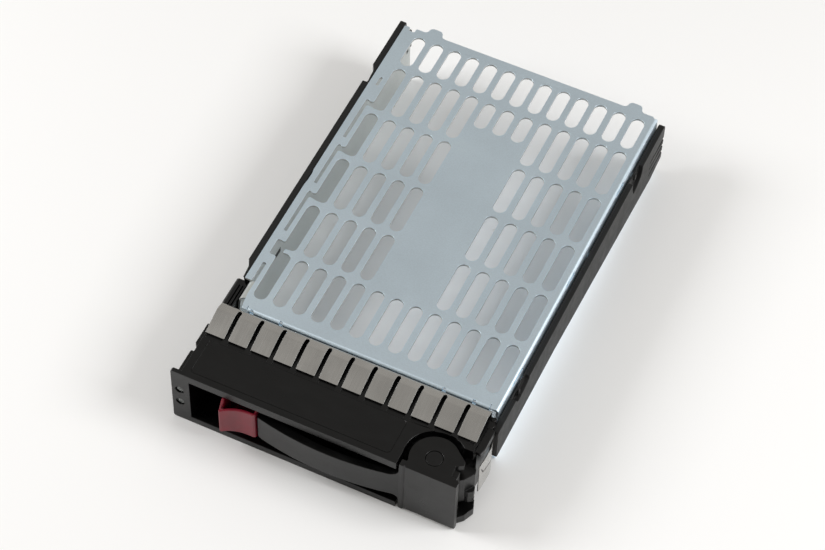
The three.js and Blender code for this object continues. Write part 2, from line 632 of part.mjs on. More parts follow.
function latchSpring() {
  const { y, z, from, to, wire } = LATCH_SPRING;
  return coil({
    turns: 6,
    radius: 2.2,
    length: to - from - 0.7,
    wire,
    toPoint: (axial, a, b) => new THREE.Vector3(from + 0.35 + axial, y + a, z + b),
  });
}

function latchRetainer() {
  const { x, y, z, screws } = RETAINER;
  return cut(box(x, y, z), screws.map(([sx, sz]) => roundY([sx, sz], 1.2, [-6, 2], 12)));
}

// A pan-head screw along Y with a cross recess, its head at the rear.
function screw([x, z], { headY, length, shank, head }) {
  const top = headY + head * 0.55;
  const body = joined([
    roundY([x, z], shank, [headY - length, headY + 0.05], 12),
    roundY([x, z], head, [headY, top], 16),
  ]);
  const arm = head * 0.55;
  const slot = 0.22;
  const depth = [top - 0.5, top + OVER];
  const cross = [
    box([x - arm, x + arm], depth, [z - slot, z + slot]),
    box([x - slot, x + slot], depth, [z - arm, z + arm]),
  ];
  return cut(body, cross);
}

const RETAINER_SCREW = { headY: RETAINER.y[1] + 0.1, length: 5.5, shank: 0.9, head: 1.9 };
const BEZEL_SCREW = { headY: SHEET + GAP, length: 9, shank: 1.2, head: 2.7 };

// ---------- assembly ----------
part("tray_pan", trayPan(), ZINC);
part("left_wall", leftWall(), ZINC);
part("left_rail", leftRail(), BLACK);
part("right_rail", rightRail(), BLACK);
part("bezel_frame", bezelFrame(), BLACK);
part("emi_top_strip", emiTopStrip(), SPRING_STEEL);
part("emi_side_spring", emiSideSpring(), SPRING_STEEL);
part("light_pipe_housing", lightPipeHousing(), BLACK);
part("light_pipe_upper", lightPipe(LIGHT.zs[0]), CLEAR);
part("light_pipe_lower", lightPipe(LIGHT.zs[1]), CLEAR);
part("light_pipe_clip", lightPipeClip(), BLACK);
part("ejector_lever", ejectorLever(), BLACK);
part("lever_pin", leverPin(), BLACK);
part("lever_pin_clip", leverPinClip(), STEEL);
part("lever_spring", leverSpring(), STEEL);
part("latch_button", latchButton(), BURGUNDY);
part("latch_spring", latchSpring(), STEEL);
part("latch_retainer", latchRetainer(), BLACK);
RETAINER.screws.forEach((at, i) => part(`retainer_screw_${i + 1}`, screw(at, RETAINER_SCREW), STEEL));
BEZEL_SCREW_X.forEach((x, i) => part(`bezel_screw_${i + 1}`, screw([x, BEZEL_SCREW_Z], BEZEL_SCREW), STEEL));

export default root;
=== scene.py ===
"""The looks of an empty hot-swap carrier for a 3.5-inch drive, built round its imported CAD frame.

Pieces are drawn in millimetres, X from the floor plate's left edge, Y from its front edge and Z from
the table, as the CAD is, and are moved into the frame's metres as they are finished.
"""

import math

import bmesh
import bpy
from mathutils import Matrix, Vector


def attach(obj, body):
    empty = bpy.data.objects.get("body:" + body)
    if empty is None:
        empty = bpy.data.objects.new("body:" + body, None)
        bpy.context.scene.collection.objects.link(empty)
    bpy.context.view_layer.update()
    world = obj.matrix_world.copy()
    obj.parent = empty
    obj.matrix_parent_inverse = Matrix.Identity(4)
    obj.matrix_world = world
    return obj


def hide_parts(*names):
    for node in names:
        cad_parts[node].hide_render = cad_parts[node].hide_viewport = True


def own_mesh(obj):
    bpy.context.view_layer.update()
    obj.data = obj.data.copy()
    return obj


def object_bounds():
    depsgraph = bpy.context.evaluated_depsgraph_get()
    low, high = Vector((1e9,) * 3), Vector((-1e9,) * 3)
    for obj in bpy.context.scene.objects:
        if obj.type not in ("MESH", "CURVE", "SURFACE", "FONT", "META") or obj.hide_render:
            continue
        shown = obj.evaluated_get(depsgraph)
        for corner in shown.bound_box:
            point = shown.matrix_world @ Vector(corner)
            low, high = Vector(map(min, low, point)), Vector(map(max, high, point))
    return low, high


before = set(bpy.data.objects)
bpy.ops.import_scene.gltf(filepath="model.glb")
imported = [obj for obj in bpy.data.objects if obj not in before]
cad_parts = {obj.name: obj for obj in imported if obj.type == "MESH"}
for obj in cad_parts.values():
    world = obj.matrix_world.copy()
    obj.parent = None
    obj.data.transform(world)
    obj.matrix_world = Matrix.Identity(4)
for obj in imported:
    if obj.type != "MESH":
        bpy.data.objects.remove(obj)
CAD_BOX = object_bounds()

# ---------- driving dimensions, in millimetres ----------
BEZEL_LEFT = -11.1
BUTTON_FRONT = -36.9

PLATE_TOP = 31.4
PLATE_WIDTH = 99.4
PLATE_LENGTH = 146.7
SHEET = 1.0
FOLD = 1.2  # outer radius of the pan's bends
FOLD_STEPS = 6
PAN_RIM = 0.07  # rounding of the pan's edges
NEAR = 1e-3  # points closer than this are one point
FLAT = math.radians(0.6)  # faces that meet at less than this are one face

TO_FRAME = Matrix.Translation(
    (CAD_BOX[0][0] - BEZEL_LEFT / 1000, CAD_BOX[0][1] - BUTTON_FRONT / 1000, 0)
) @ Matrix.Scale(0.001, 4)

SLOT_WIDTH = 5.16
COLUMNS = [3.5 + 7.585 * i for i in range(13)]
ROWS = [17.0 + 24.42 * i for i in range(5)]
LONG_SLOT = 22.1
REAR_ROW = {"y": 135.6, "length": 15.4}
SHORT_ROW = {"y": 118.8, "length": 13.0}  # ahead of the solid panel


# ---------- outlines ----------
def rounded(corners, steps=5):
    """A closed outline from (x, y, radius) corners."""
    points = []
    for i, (x, y, radius) in enumerate(corners):
        here = Vector((x, y))
        back = Vector(corners[i - 1][:2]) - here
        ahead = Vector(corners[(i + 1) % len(corners)][:2]) - here
        half = back.angle(ahead) / 2
        if radius <= 0 or half > math.pi / 2 - 0.01:
            points.append(here)
            continue
        reach = min(radius / math.tan(half), back.length / 2, ahead.length / 2)
        radius = reach * math.tan(half)
        middle = here + (back.normalized() + ahead.normalized()).normalized() * radius / math.sin(half)
        start = here + back.normalized() * reach - middle
        end = here + ahead.normalized() * reach - middle
        turn = start.angle_signed(end)
        count = max(1, round(abs(turn) * steps / (math.pi / 2)))
        for k in range(count + 1):
            points.append(middle + Matrix.Rotation(-turn * k / count, 2) @ start)
    return [p for i, p in enumerate(points) if (p - points[i - 1]).length > NEAR]


def rectangle(x, y, radius=0.2, steps=2):
    return rounded([(x[a], y[b], radius) for a, b in ((0, 0), (1, 0), (1, 1), (0, 1))], steps)


def stadium(x, y, width, length, steps=6):
    w, h = width / 2, length / 2
    return rectangle((x - w, x + w), (y - h, y + h), w, steps)


# ---------- meshes ----------
def flat_sheet(outer, holes, thickness, rim):
    """A flat sheet in X and Y, centred on Z = 0, with holes and a small round along every edge."""
    curve = bpy.data.curves.new("outline", "CURVE")
    curve.dimensions = "2D"
    curve.fill_mode = "BOTH"
    curve.extrude = thickness / 2 - rim
    curve.bevel_depth = rim
    curve.bevel_resolution = 1
    curve.offset = -rim
    for loop, turn in [(outer, 1)] + [(hole, -1) for hole in holes]:
        area = sum(a.x * b.y - b.x * a.y for a, b in zip(loop, loop[1:] + loop[:1]))
        spline = curve.splines.new("POLY")
        spline.points.add(len(loop) - 1)
        for point, at in zip(spline.points, loop if area * turn > 0 else loop[::-1]):
            point.co = (at.x, at.y, 0, 1)
        spline.use_cyclic_u = True
    holder = bpy.data.objects.new("outline", curve)
    mesh = bpy.data.meshes.new_from_object(holder)
    bpy.data.objects.remove(holder)
    bpy.data.curves.remove(curve)
    bm = bmesh.new()
    bm.from_mesh(mesh)
    bpy.data.meshes.remove(mesh)
    bmesh.ops.remove_doubles(bm, verts=bm.verts, dist=NEAR)
    return bm


def slice_at(bm, axis, places):
    """Cuts every face where it crosses the planes at these places along an axis."""
    for place in places:
        normal = Vector((0, 0, 0))
        normal[axis] = 1
        geometry = bm.verts[:] + bm.edges[:] + bm.faces[:]
        bmesh.ops.bisect_plane(bm, geom=geometry, plane_co=normal * place, plane_no=normal)


def fold(bm, u, w, start, sign, middle, radius, toward=-1, where=lambda co: True):
    """Folds a sheet through a right angle: what lies past start along axis u turns towards axis w."""
    arc = radius * math.pi / 2
    slice_at(bm, u, [start + sign * arc * k / FOLD_STEPS for k in range(FOLD_STEPS + 1)])
    for v in bm.verts:
        past = sign * (v.co[u] - start)
        if past <= 1e-4 or not where(v.co):
            continue
        out = -toward * (v.co[w] - middle)
        angle = min(past / radius, math.pi / 2)
        straight = max(0.0, past - arc)
        v.co[u] = start + sign * (radius + out) * math.sin(angle)
        v.co[w] = middle + toward * (radius - (radius + out) * math.cos(angle) + straight)


def to_object(bm, name="solid"):
    bmesh.ops.recalc_face_normals(bm, faces=bm.faces)
    mesh = bpy.data.meshes.new(name)
    bm.to_mesh(mesh)
    bm.free()
    made = bpy.data.objects.new(name, mesh)
    bpy.context.scene.collection.objects.link(made)
    return made


def applied(made):
    """Applies an object's modifiers."""
    bpy.context.view_layer.update()
    depsgraph = bpy.context.evaluated_depsgraph_get()
    mesh = bpy.data.meshes.new_from_object(made.evaluated_get(depsgraph))
    made.modifiers.clear()
    old = made.data
    made.data = mesh
    bpy.data.meshes.remove(old)
    return made


def combined(base, operation, tools):
    for tool in tools:
        modifier = base.modifiers.new("combine", "BOOLEAN")
        modifier.operation = operation
        modifier.solver = "MANIFOLD"
        modifier.object = tool
    applied(base)
    for tool in tools:
        mesh = tool.data
        bpy.data.objects.remove(tool)
        bpy.data.meshes.remove(mesh)
    return base


def joined(first, *others):
    return combined(first, "UNION", others)


def cut(base, *tools):
    return combined(base, "DIFFERENCE", tools)


# A point given in an outline's two directions and along its axis, for axes X, Y and Z.
ALONG = (
    lambda a, b, c: (c, a, b),
    lambda a, b, c: (a, c, b),
    lambda a, b, c: (a, b, c),
)


def prism(outline, span, axis=2):
    """A solid with this outline, from span[0] to span[1] along the axis."""
    bm = bmesh.new()
    place = ALONG[axis]
    low = [bm.verts.new(place(p[0], p[1], span[0])) for p in outline]
    high = [bm.verts.new(place(p[0], p[1], span[1])) for p in outline]
    bm.faces.new(low)
    bm.faces.new(high)
    for i in range(len(low)):
        j = (i + 1) % len(low)
        bm.faces.new((low[i], low[j], high[j], high[i]))
    return to_object(bm)


def box(x, y, z):
    return prism([(x[0], y[0]), (x[1], y[0]), (x[1], y[1]), (x[0], y[1])], z)


def disc(centre, radius, span, axis=2, sides=48):
    turns = [2 * math.pi * i / sides for i in range(sides)]
    ring = [(centre[0] + radius * math.cos(t), centre[1] + radius * math.sin(t)) for t in turns]
    return prism(ring, span, axis)


def finished(made, name, body, nodes, slot, material, bevel=0.2, segments=2, angle=32):
    """Rounds a piece's edges, shades it, moves it into the frame and gives it its body and finish."""
    bm = bmesh.new()
    bm.from_mesh(made.data)
    bmesh.ops.remove_doubles(bm, verts=bm.verts, dist=2 * NEAR)
    bmesh.ops.dissolve_limit(bm, angle_limit=FLAT, verts=bm.verts, edges=bm.edges)
    bm.to_mesh(made.data)
    bm.free()
    if bevel:
        modifier = made.modifiers.new("edges", "BEVEL")
        modifier.width = bevel
        modifier.segments = segments
        modifier.limit_method = "ANGLE"
        modifier.angle_limit = math.radians(angle)
        modifier.use_clamp_overlap = False
    made.modifiers.new("normals", "WEIGHTED_NORMAL")
    for polygon in made.data.polygons:
        polygon.use_smooth = True
    applied(made)
    made.name = name
    made.data.name = name
    made.data.transform(TO_FRAME)
    made.data.materials.clear()
    made.data.materials.append(material)
    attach(made, body)
    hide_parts(*nodes)
    return made


def dull_and_shade_edges(mesh, is_edge):
    """Gives a sheet's cut edges their own rougher grey finish; on the floor plate's hole walls its darker
    grey is painted shade.
    """
    mesh.materials.append(CUT_EDGE_SHADE)
    to_plate = TO_FRAME.inverted()
    for polygon in mesh.polygons:
        if is_edge(to_plate @ polygon.center, polygon.normal):
            polygon.material_index = 1


# ---------- finishes ----------
def set_inputs(node, values):
    for name, value in values.items():
        node.inputs[name].default_value = value


def material(name, colour, metallic, roughness):
    """A new material with plain values, and its node tree and shader."""
    made = bpy.data.materials.new(name)
    made.use_nodes = True
    made.diffuse_color = (*colour, 1)
    tree = made.node_tree
    shader = tree.nodes["Principled BSDF"]
    set_inputs(shader, {"Base Color": (*colour, 1), "Metallic": metallic, "Roughness": roughness})
    return made, tree, shader


def place_of(tree, stretch=(1, 1, 1)):
    """Each point of a piece in millimetres, stretched to lengthen the pattern."""
    place = tree.nodes.new("ShaderNodeTexCoord")
    scale = tree.nodes.new("ShaderNodeMapping")
    scale.inputs["Scale"].default_value = [1000 / s for s in stretch]
    tree.links.new(place.outputs["Object"], scale.inputs["Vector"])
    return scale.outputs["Vector"]


def noise_of(tree, place, size, detail=2.0, rough=0.5):
    """Soft random spots of about this size in millimetres, from 0 to 1."""
    noise = tree.nodes.new("ShaderNodeTexNoise")
    set_inputs(noise, {"Scale": 1 / size, "Detail": detail, "Roughness": rough})
    tree.links.new(place, noise.inputs["Vector"])
    return noise.outputs["Fac"]


def ramp(tree, source, stops):
    """Turns 0 to 1 into colours, by (position, colour) stops."""
    made = tree.nodes.new("ShaderNodeValToRGB")
    band = made.color_ramp
    while len(band.elements) < len(stops):
        band.elements.new(0.5)
    for element, (position, colour) in zip(band.elements, stops):
        element.position = position
        element.color = (*colour, 1)
    tree.links.new(source, made.inputs["Fac"])
    return made.outputs["Color"]


def spread(tree, source, low, high, start=0.3, end=0.7):
    """Moves what lies from start to end to the range from low to high."""
    made = tree.nodes.new("ShaderNodeMapRange")
    set_inputs(made, {"From Min": start, "From Max": end, "To Min": low, "To Max": high})
    tree.links.new(source, made.inputs["Value"])
    return made.outputs["Result"]


def blended(tree, amount, first, second, mode):
    mix = tree.nodes.new("ShaderNodeMix")
    mix.data_type = "RGBA"
    mix.blend_type = mode
    for name, value in (("Factor", amount), ("A", first), ("B", second)):
        connect(tree, value, mix.inputs[name])
    return mix.outputs["Result"]


def connect(tree, value, socket):
    """Links a socket to another node's output, or sets it to a colour or a number."""
    if isinstance(value, bpy.types.NodeSocket):
        tree.links.new(value, socket)
    elif isinstance(value, tuple):
        socket.default_value = (*value, 1)
    else:
        socket.default_value = value


def bumps(tree, shader, layers):
    """Small relief: (height source, depth in millimetres) layers, one on the other."""
    before = None
    for source, depth in layers:
        bump = tree.nodes.new("ShaderNodeBump")
        set_inputs(bump, {"Strength": 1.0, "Distance": depth / 1000})
        tree.links.new(source, bump.inputs["Height"])
        if before:
            tree.links.new(before, bump.inputs["Normal"])
        before = bump.outputs["Normal"]
    tree.links.new(before, shader.inputs["Normal"])


def tinted(colour, factor):
    return tuple(c * factor for c in colour)


def toned(tree, source, colour, low, high):
    """The colour, made low to high times as bright by the source."""
    return ramp(tree, source, [(0.3, tinted(colour, low)), (0.7, tinted(colour, high))])


def paint(tree, shader, colour, roughness):
    tree.links.new(colour, shader.inputs["Base Color"])
    tree.links.new(roughness, shader.inputs["Roughness"])


def zinc_finish(name, colour, low, high):
    """Sheet steel: soft clouds of tone over a fine grain, with roughness from low to high."""
    made, tree, shader = material(name, colour, 1.0, (low + high) / 2)
    place = place_of(tree)
    cloud = noise_of(tree, place, 28, 3)
    grain = noise_of(tree, place, 0.5, 3, 0.7)
    tone = toned(tree, cloud, colour, 0.95, 1.04)
    speckle = ramp(tree, grain, [(0.35, (0.94, 0.94, 0.94)), (0.65, (1, 1, 1))])
    paint(tree, shader, blended(tree, 1.0, tone, speckle, "MULTIPLY"), spread(tree, grain, low, high))
    bumps(tree, shader, [(cloud, 0.12), (grain, 0.004)])
    return made


def spring_finish():
    """Warm grey strip with faint lines along its fingers."""
    colour = (0.56, 0.55, 0.53)
    made, tree, shader = material("spring_steel", colour, 1.0, 0.26)
    place = place_of(tree)
    cloud = noise_of(tree, place, 9, 2)
    lines = noise_of(tree, place_of(tree, (0.25, 12, 12)), 1, 2)
    paint(tree, shader, toned(tree, cloud, colour, 0.93, 1.05), spread(tree, lines, 0.23, 0.28))
    bumps(tree, shader, [(cloud, 0.06), (lines, 0.0008)])
    return made


def black_finish(name, colour, low, high):
    """Moulded black plastic: fine texture, dust specks and faint smears."""
    made, tree, shader = material(name, colour, 0.0, (low + high) / 2)
    set_inputs(shader, {"IOR": 1.43})
    place = place_of(tree)
    texture = noise_of(tree, place, 0.28, 2, 0.6)
    smear = noise_of(tree, place_of(tree, (9, 4, 6)), 1, 4, 0.6)
    speck = noise_of(tree, place, 0.55, 1, 0.4)
    dust = ramp(tree, speck, [(0.74, colour), (0.80, tinted(colour, 3.2))])
    tone = ramp(tree, smear, [(0.35, tinted(colour, 0.85)), (0.7, tinted(colour, 1.25))])
    paint(tree, shader, blended(tree, 0.5, tone, dust, "LIGHTEN"), spread(tree, smear, low, high))
    bumps(tree, shader, [(texture, 0.012)])
    return made


def burgundy_finish():
    """Half-gloss burgundy plastic with soft clouds of tone."""
    colour = (0.18, 0.006, 0.018)
    made, tree, shader = material("burgundy_plastic", colour, 0.0, 0.36)
    place = place_of(tree)
    cloud = noise_of(tree, place, 5, 3)
    texture = noise_of(tree, place, 0.25, 2)
    paint(tree, shader, toned(tree, cloud, colour, 0.85, 1.15), spread(tree, cloud, 0.3, 0.42))
    bumps(tree, shader, [(texture, 0.006)])
    set_inputs(shader, {"Subsurface Weight": 0.05, "Subsurface Scale": 0.001})
    return made


def clear_finish():
    """Clear plastic, tinted grey: painted shade that keeps the light guides' tips dark in their windows."""
    made, tree, shader = material("clear_guide", (0.3, 0.33, 0.32), 0.0, 0.08)
    place = place_of(tree)
    cloud = noise_of(tree, place, 2.5, 2)
    tone = ramp(tree, cloud, [(0.3, (0.25, 0.28, 0.27)), (0.7, (0.36, 0.39, 0.38))])
    paint(tree, shader, tone, spread(tree, cloud, 0.05, 0.16))
    set_inputs(shader, {"Transmission Weight": 0.8, "IOR": 1.49})
    return made


def steel_finish():
    """Plain steel, unevenly bright."""
    colour = (0.42, 0.42, 0.42)
    made, tree, shader = material("steel_hardware", colour, 1.0, 0.3)
    place = place_of(tree)
    cloud = noise_of(tree, place, 1.5, 3)
    paint(tree, shader, toned(tree, cloud, colour, 0.8, 1.15), spread(tree, cloud, 0.22, 0.4))
    bumps(tree, shader, [(cloud, 0.01)])
    return made


ZINC = zinc_finish("zinc_sheet", (0.76, 0.89, 0.99), 0.36, 0.46)
WALL_ZINC = zinc_finish("wall_zinc", (0.68, 0.71, 0.70), 0.46, 0.56)
# Cut edges: rougher, and darker grey, which is painted shade on the floor plate's hole walls.
CUT_EDGE_SHADE = zinc_finish("cut_edge_painted_shade", (0.60, 0.61, 0.60), 0.50, 0.60)
SPRING = spring_finish()
BLACK = black_finish("black_plastic", (0.0012, 0.0012, 0.0013), 0.26, 0.36)
RAIL_BLACK = black_finish("rail_plastic", (0.004, 0.004, 0.004), 0.46, 0.58)
LEVER_BLACK = black_finish("lever_plastic", (0.0012, 0.0012, 0.0012), 0.27, 0.38)
PIN_BLACK = black_finish("pin_plastic", (0.0008, 0.0008, 0.0009), 0.34, 0.44)
BURGUNDY = burgundy_finish()
CLEAR = clear_finish()
STEEL = steel_finish()


# ---------- floor pan ----------
BEND = FOLD - SHEET / 2  # radius of a bend at the middle of the sheet
BEND_LENGTH = BEND * math.pi / 2
RIGHT_BEND = PLATE_WIDTH + SHEET - FOLD  # where the right wall's bend starts
DRIVE_HOLES = [(y, 24.05, 1.75) for y in (20.6, 80.5, 122.1)]
RIGHT_HOOKS = [(y, y + 5.6, 22.6, 24.8) for y in (107.0, 61.0, 24.0)]
FOLD_SLITS = [(12.0, 21.0), (59.6, 67.4), (106.2, 113.4)]
BEZEL_SCREWS = [(x, 15.5) for x in (34, 53, 72, 92)]
STRIP_HOLES = [3.9, 15.5, 79.4, 91.0]
FLANGE_BOTTOM = 8.0
EARS = {"x": (90.6, 7.4), "root": 3, "tip": 2.6, "reach": 3}
HOOK_GAP = 0.3  # room round each hook in its hole


def down_right(z):
    """Where a height on the right wall lies in the flat sheet."""
    return RIGHT_BEND + BEND_LENGTH + PLATE_TOP - FOLD - z


def down_front(z):
    """Where a height on the front flange lies in the flat sheet."""
    return FOLD - BEND_LENGTH - (PLATE_TOP - FOLD - z)


def pan_outline():
    bottom = down_front(FLANGE_BOTTOM)
    wall = down_right(0)
    rear = PLATE_LENGTH
    corners = [
        (0, 0, 0.4), (1.8, 0, 0.3), (1.8, 1.8, 0), (2.2, 1.8, 0), (2.2, bottom, 0.8),
        (96.8, bottom, 0.8), (96.8, 1.8, 0), (97.2, 1.8, 0), (97.2, 0, 0.3),
        (wall, 0, 1.5), (wall, rear, 1.5), (99.9, rear, 0.8), (99.3, rear - 1.0, 0.5), (98.6, rear, 0.8),
    ]
    root, tip, end = EARS["root"], EARS["tip"], rear + EARS["reach"]
    for x in EARS["x"]:
        corners += [(x + root, rear, 1.6), (x + tip, end, 2.3), (x - tip, end, 2.3), (x - root, rear, 1.6)]
    corners += [
        (-0.2, rear, 0.5), (-0.2, rear - 2.0, 0.6), (-2.7, rear - 2.0, 0.6), (-2.7, rear - 0.2, 0.5),
        (-5.0, rear - 0.2, 0.4), (-5.0, 67.4, 0.4), (-4.7, 65.8, 0.4), (-4.7, 62.4, 0.4), (-5.0, 59.8, 0.4),
        (-5.0, 12.3, 0.5), (-2.35, 12.3, 0.4), (-2.35, 21.4, 0.4), (-0.9, 21.4, 0.4), (-0.9, 6.4, 1),
    ]
    return rounded(corners)


def first_column():
    """The first column's holes, which run on into narrow slots along the left wall."""
    left, right, r = 0.92, 6.08, 2.58
    ends = [(y - LONG_SLOT / 2, y + LONG_SLOT / 2) for y in ROWS]
    wide = [
        (left, ends[0][0], r), (right, ends[0][0], r), (right, ends[0][1] + 0.2, 2.5),
        (2.1, ends[0][1] + 0.2, 0.5), (2.3, ends[1][0] - 0.3, 0.5), (right, ends[1][0], 2.5),
        (right, ends[1][1], r), (left, ends[1][1], r), (left - 0.1, 32.7, 0.8), (-0.9, 33.1, 1.2),
        (-2.2, 33.1, 0.6), (-2.2, 25.9, 0.7), (left - 0.2, 25.9, 0.8),
    ]
    holes = [wide]
    for (low, high), (slot, rear) in zip(ends[2:], [(37.5, 58.0), (62.0, 82.5), (86.3, 106.8)]):
        hook = low + 0.3
        holes.append([
            (-2.3, slot, 0.35), (-1.0, slot, 0.35), (-0.85, hook + 0.4, 0.9), (1.2, hook, 1.2),
            (2.4, low, 1.6), (right, low, 2.5), (right, high, r), (left, high, r), (left, rear - 0.3, 0.8),
            (-0.6, rear - 0.6, 0.8), (-1.1, rear - 0.1, 0.7), (-2.2, rear - 0.2, 0.7),
        ])
    return [rounded(hole) for hole in holes]


def ventilation():
    slots = [stadium(x, REAR_ROW["y"], SLOT_WIDTH, REAR_ROW["length"]) for x in COLUMNS]
    slots += [stadium(x, ROWS[0], SLOT_WIDTH, LONG_SLOT) for x in COLUMNS[1:]]
    slots += [stadium(x, SHORT_ROW["y"], SLOT_WIDTH, SHORT_ROW["length"]) for x in COLUMNS[5:8]]
    for x in COLUMNS[1:5] + COLUMNS[8:]:
        slots += [stadium(x, y, SLOT_WIDTH, LONG_SLOT) for y in ROWS[1:]]
    return slots


def pan_holes():
    holes = first_column() + ventilation()
    holes += [rectangle((-2.3, -1.1), (114.3, 118.9), 0.5)]
    holes += [rectangle((x - 0.65, x + 0.65), (-0.5, 0.95)) for x in STRIP_HOLES]
    holes += [stadium(x, down_front(z), 3.4, 3.4) for x, z in BEZEL_SCREWS]
    holes += [stadium(down_right(z), y, 2 * r, 2 * r) for y, z, r in DRIVE_HOLES]
    for front, rear, bottom, top in RIGHT_HOOKS:
        height = (down_right(top + HOOK_GAP), down_right(bottom - HOOK_GAP))
        holes.append(rectangle(height, (front - HOOK_GAP, rear + HOOK_GAP)))
    holes += [rectangle((RIGHT_BEND + 0.7, RIGHT_BEND + 1.9), y, 0.4) for y in FOLD_SLITS]
    return holes


def on_plate_edge(at, normal):
    on_plate = at.x < RIGHT_BEND and at.y > FOLD and at.z > PLATE_TOP - SHEET
    return on_plate and abs(normal.z) < 0.2


def floor_pan():
    """The slotted plate, folded down into a front flange and the right wall."""
    flange = (2.0, 97.0)
    bm = flat_sheet(pan_outline(), pan_holes(), SHEET, PAN_RIM)
    slice_at(bm, 0, flange)
    fold(bm, 1, 2, FOLD, -1, 0, BEND, where=lambda co: flange[0] < co.x < flange[1])
    fold(bm, 0, 2, RIGHT_BEND, 1, 0, BEND)
    bmesh.ops.translate(bm, verts=bm.verts, vec=(0, 0, PLATE_TOP - SHEET / 2))
    made = to_object(bm)
    finished(made, "floor_pan", "root", ["tray_pan"], "zinc_sheet", ZINC, bevel=0)
    # The plate's hole walls take the darker cut-edge grey: painted shade inside the slots.
    dull_and_shade_edges(made.data, on_plate_edge)


# ---------- shapes that several pieces share ----------
def quad(start, control, end, steps=12):
    """Points along a quadratic curve."""
    a, b, c = Vector(start), Vector(control), Vector(end)
    return [(1 - t) ** 2 * a + 2 * t * (1 - t) * b + t * t * c for t in (k / steps for k in range(steps + 1))]


def arc(centre, radius, start, end, steps=24):
    """Points along a circle, between two angles in degrees."""
    turns = [math.radians(start + (end - start) * k / steps) for k in range(steps + 1)]
    return [Vector((centre[0] + radius * math.cos(t), centre[1] + radius * math.sin(t))) for t in turns]


def wider(span, by=0.3):
    return (span[0] - by, span[1] + by)


def smooth_path(points, step):
    """Points at even steps along a smooth curve through the given points, and the curve's length."""
    points = [Vector(p) for p in points]
    ends = [2 * points[0] - points[1]] + points + [2 * points[-1] - points[-2]]
    fine = []
    for p0, p1, p2, p3 in zip(ends, ends[1:], ends[2:], ends[3:]):
        for k in range(24):
            t = k / 24
            fine.append(0.5 * (
                2 * p1 + (p2 - p0) * t + (2 * p0 - 5 * p1 + 4 * p2 - p3) * t * t
                + (3 * p1 - p0 - 3 * p2 + p3) * t ** 3
            ))
    fine.append(points[-1])
    lengths = [0.0]
    for a, b in zip(fine, fine[1:]):
        lengths.append(lengths[-1] + (b - a).length)
    count = max(2, round(lengths[-1] / step))
    even, i = [], 0
    for k in range(count + 1):
        at = lengths[-1] * k / count
        while i < len(lengths) - 2 and lengths[i + 1] < at:
            i += 1
        share = (at - lengths[i]) / max(lengths[i + 1] - lengths[i], 1e-9)
        even.append(fine[i].lerp(fine[i + 1], share))
    return even, lengths[-1]


def bend_along(bm, u, w, path, length):
    """Bends a flat sheet, long in axis u and thin in axis w, along a path of (u, w) points."""
    step = length / (len(path) - 1)
    slice_at(bm, u, [step * k for k in range(1, len(path) - 1)])
    for v in bm.verts:
        at = min(max(v.co[u], 0.0), length)
        i = min(int(at / step + 1e-6), len(path) - 2)
        share = at / step - i
        a, b = path[i], path[i + 1]
        before = path[max(i - 1, 0)]
        after = path[min(i + 2, len(path) - 1)]
        along = (b - before).normalized().lerp((after - a).normalized(), share).normalized()
        out = Vector((-along.y, along.x))
        point = a.lerp(b, share) + out * v.co[w]
        v.co[u], v.co[w] = point.x, point.y


# ---------- left wall ----------
LEFT_WALL = (-3.2, -2.4)
REAR_HOOK_HEIGHTS = ((27.0, 28.8), (19.4, 20.8))
LEFT_HOOKS = [(143.2, 144.4, *z) for z in REAR_HOOK_HEIGHTS] + [(y, y + 4, 21.2, 23.4) for y in (90.0, 31.0)]
REAR_HOOKS = [(146.7, 147.7, *z) for z in REAR_HOOK_HEIGHTS]
TONGUE = {"y": (3.9, 12.9), "z": 29.2, "reach": 2.0, "bend": 0.7}


def left_wall():
    """A flat wall with a tongue at its front that turns in below the floor plate."""
    top, rear, front = PLATE_TOP - SHEET - 0.3, PLATE_LENGTH - 0.3, 3.0
    (near, far), bend = TONGUE["y"], TONGUE["z"]
    tip = bend + TONGUE["reach"] + 0.9
    outer = rounded([
        (front, 0, 1), (rear, 0, 1), (rear, top, 0.8), (far + 0.4, top, 0.3), (far + 0.4, bend - 0.6, 0.2),
        (far, bend - 0.6, 0.2), (far, tip, 0.6), (near + 1.6, tip, 1.2), (near, bend, 1), (front, 26, 1),
    ])
    holes = [rectangle(wider(h[:2]), wider(h[2:])) for h in LEFT_HOOKS]
    holes += [stadium(y, z, 2 * r, 2 * r) for y, z, r in DRIVE_HOLES]
    bm = flat_sheet(outer, holes, LEFT_WALL[1] - LEFT_WALL[0], 0.1)
    fold(bm, 1, 2, bend, 1, 0, TONGUE["bend"], toward=1, where=lambda co: co.x < far + 0.01)
    for v in bm.verts:
        v.co = Vector((v.co.z + sum(LEFT_WALL) / 2, v.co.x, v.co.y))
    finished(to_object(bm), "side_wall_left", "root", ["left_wall"], "zinc_sheet", WALL_ZINC, bevel=0)


# ---------- rails ----------
RAIL_REAR = 148.8
LEFT_RAIL = {"x": (-7.7, -5.3), "z": (10.2, 31.1), "front": 12.6}
LEFT_PANELS = ((34, 68), (78, 112))
LEFT_RIBS = (45, 56.5, 89.5, 101)
LEFT_NOTCHES = ((12.0, 20.6, 17.8), (114.6, 123.6, 121.4))
RIGHT_RAIL = {"x": (100.8, 103.2), "top": 27.1, "front": -5.9}
RAIL_FOOT = [(-5.9, 11.6, 0.8), (45, 11.6, 20), (138, 5.4, 3), (RAIL_REAR, 7.6, 0.6)]
GROOVES = {"count": 3, "pitch": 3.8, "gap": 1.2, "front": 135, "first": 19.5}
LEAVES = [(9.5, 21.0, 3.2), (116.5, 126.2, 8.2)]
PIPE_CLIP = {"y": (137.0, 141.0), "z": (7.8, 21.0)}


def rail_notch(low, high, corner):
    """A notch across the left rail's outer face, steep in front and running out behind."""
    face = LEFT_RAIL["x"][0]
    outside, deep = face - 1, face + 1.9
    plan = rounded([
        (outside, low, 0), (deep, low, 0.5), (deep - 0.5, corner, 1.5), (face, high, 0.6), (outside, high, 0),
    ])
    return prism(plan, wider(LEFT_RAIL["z"], 1.5))


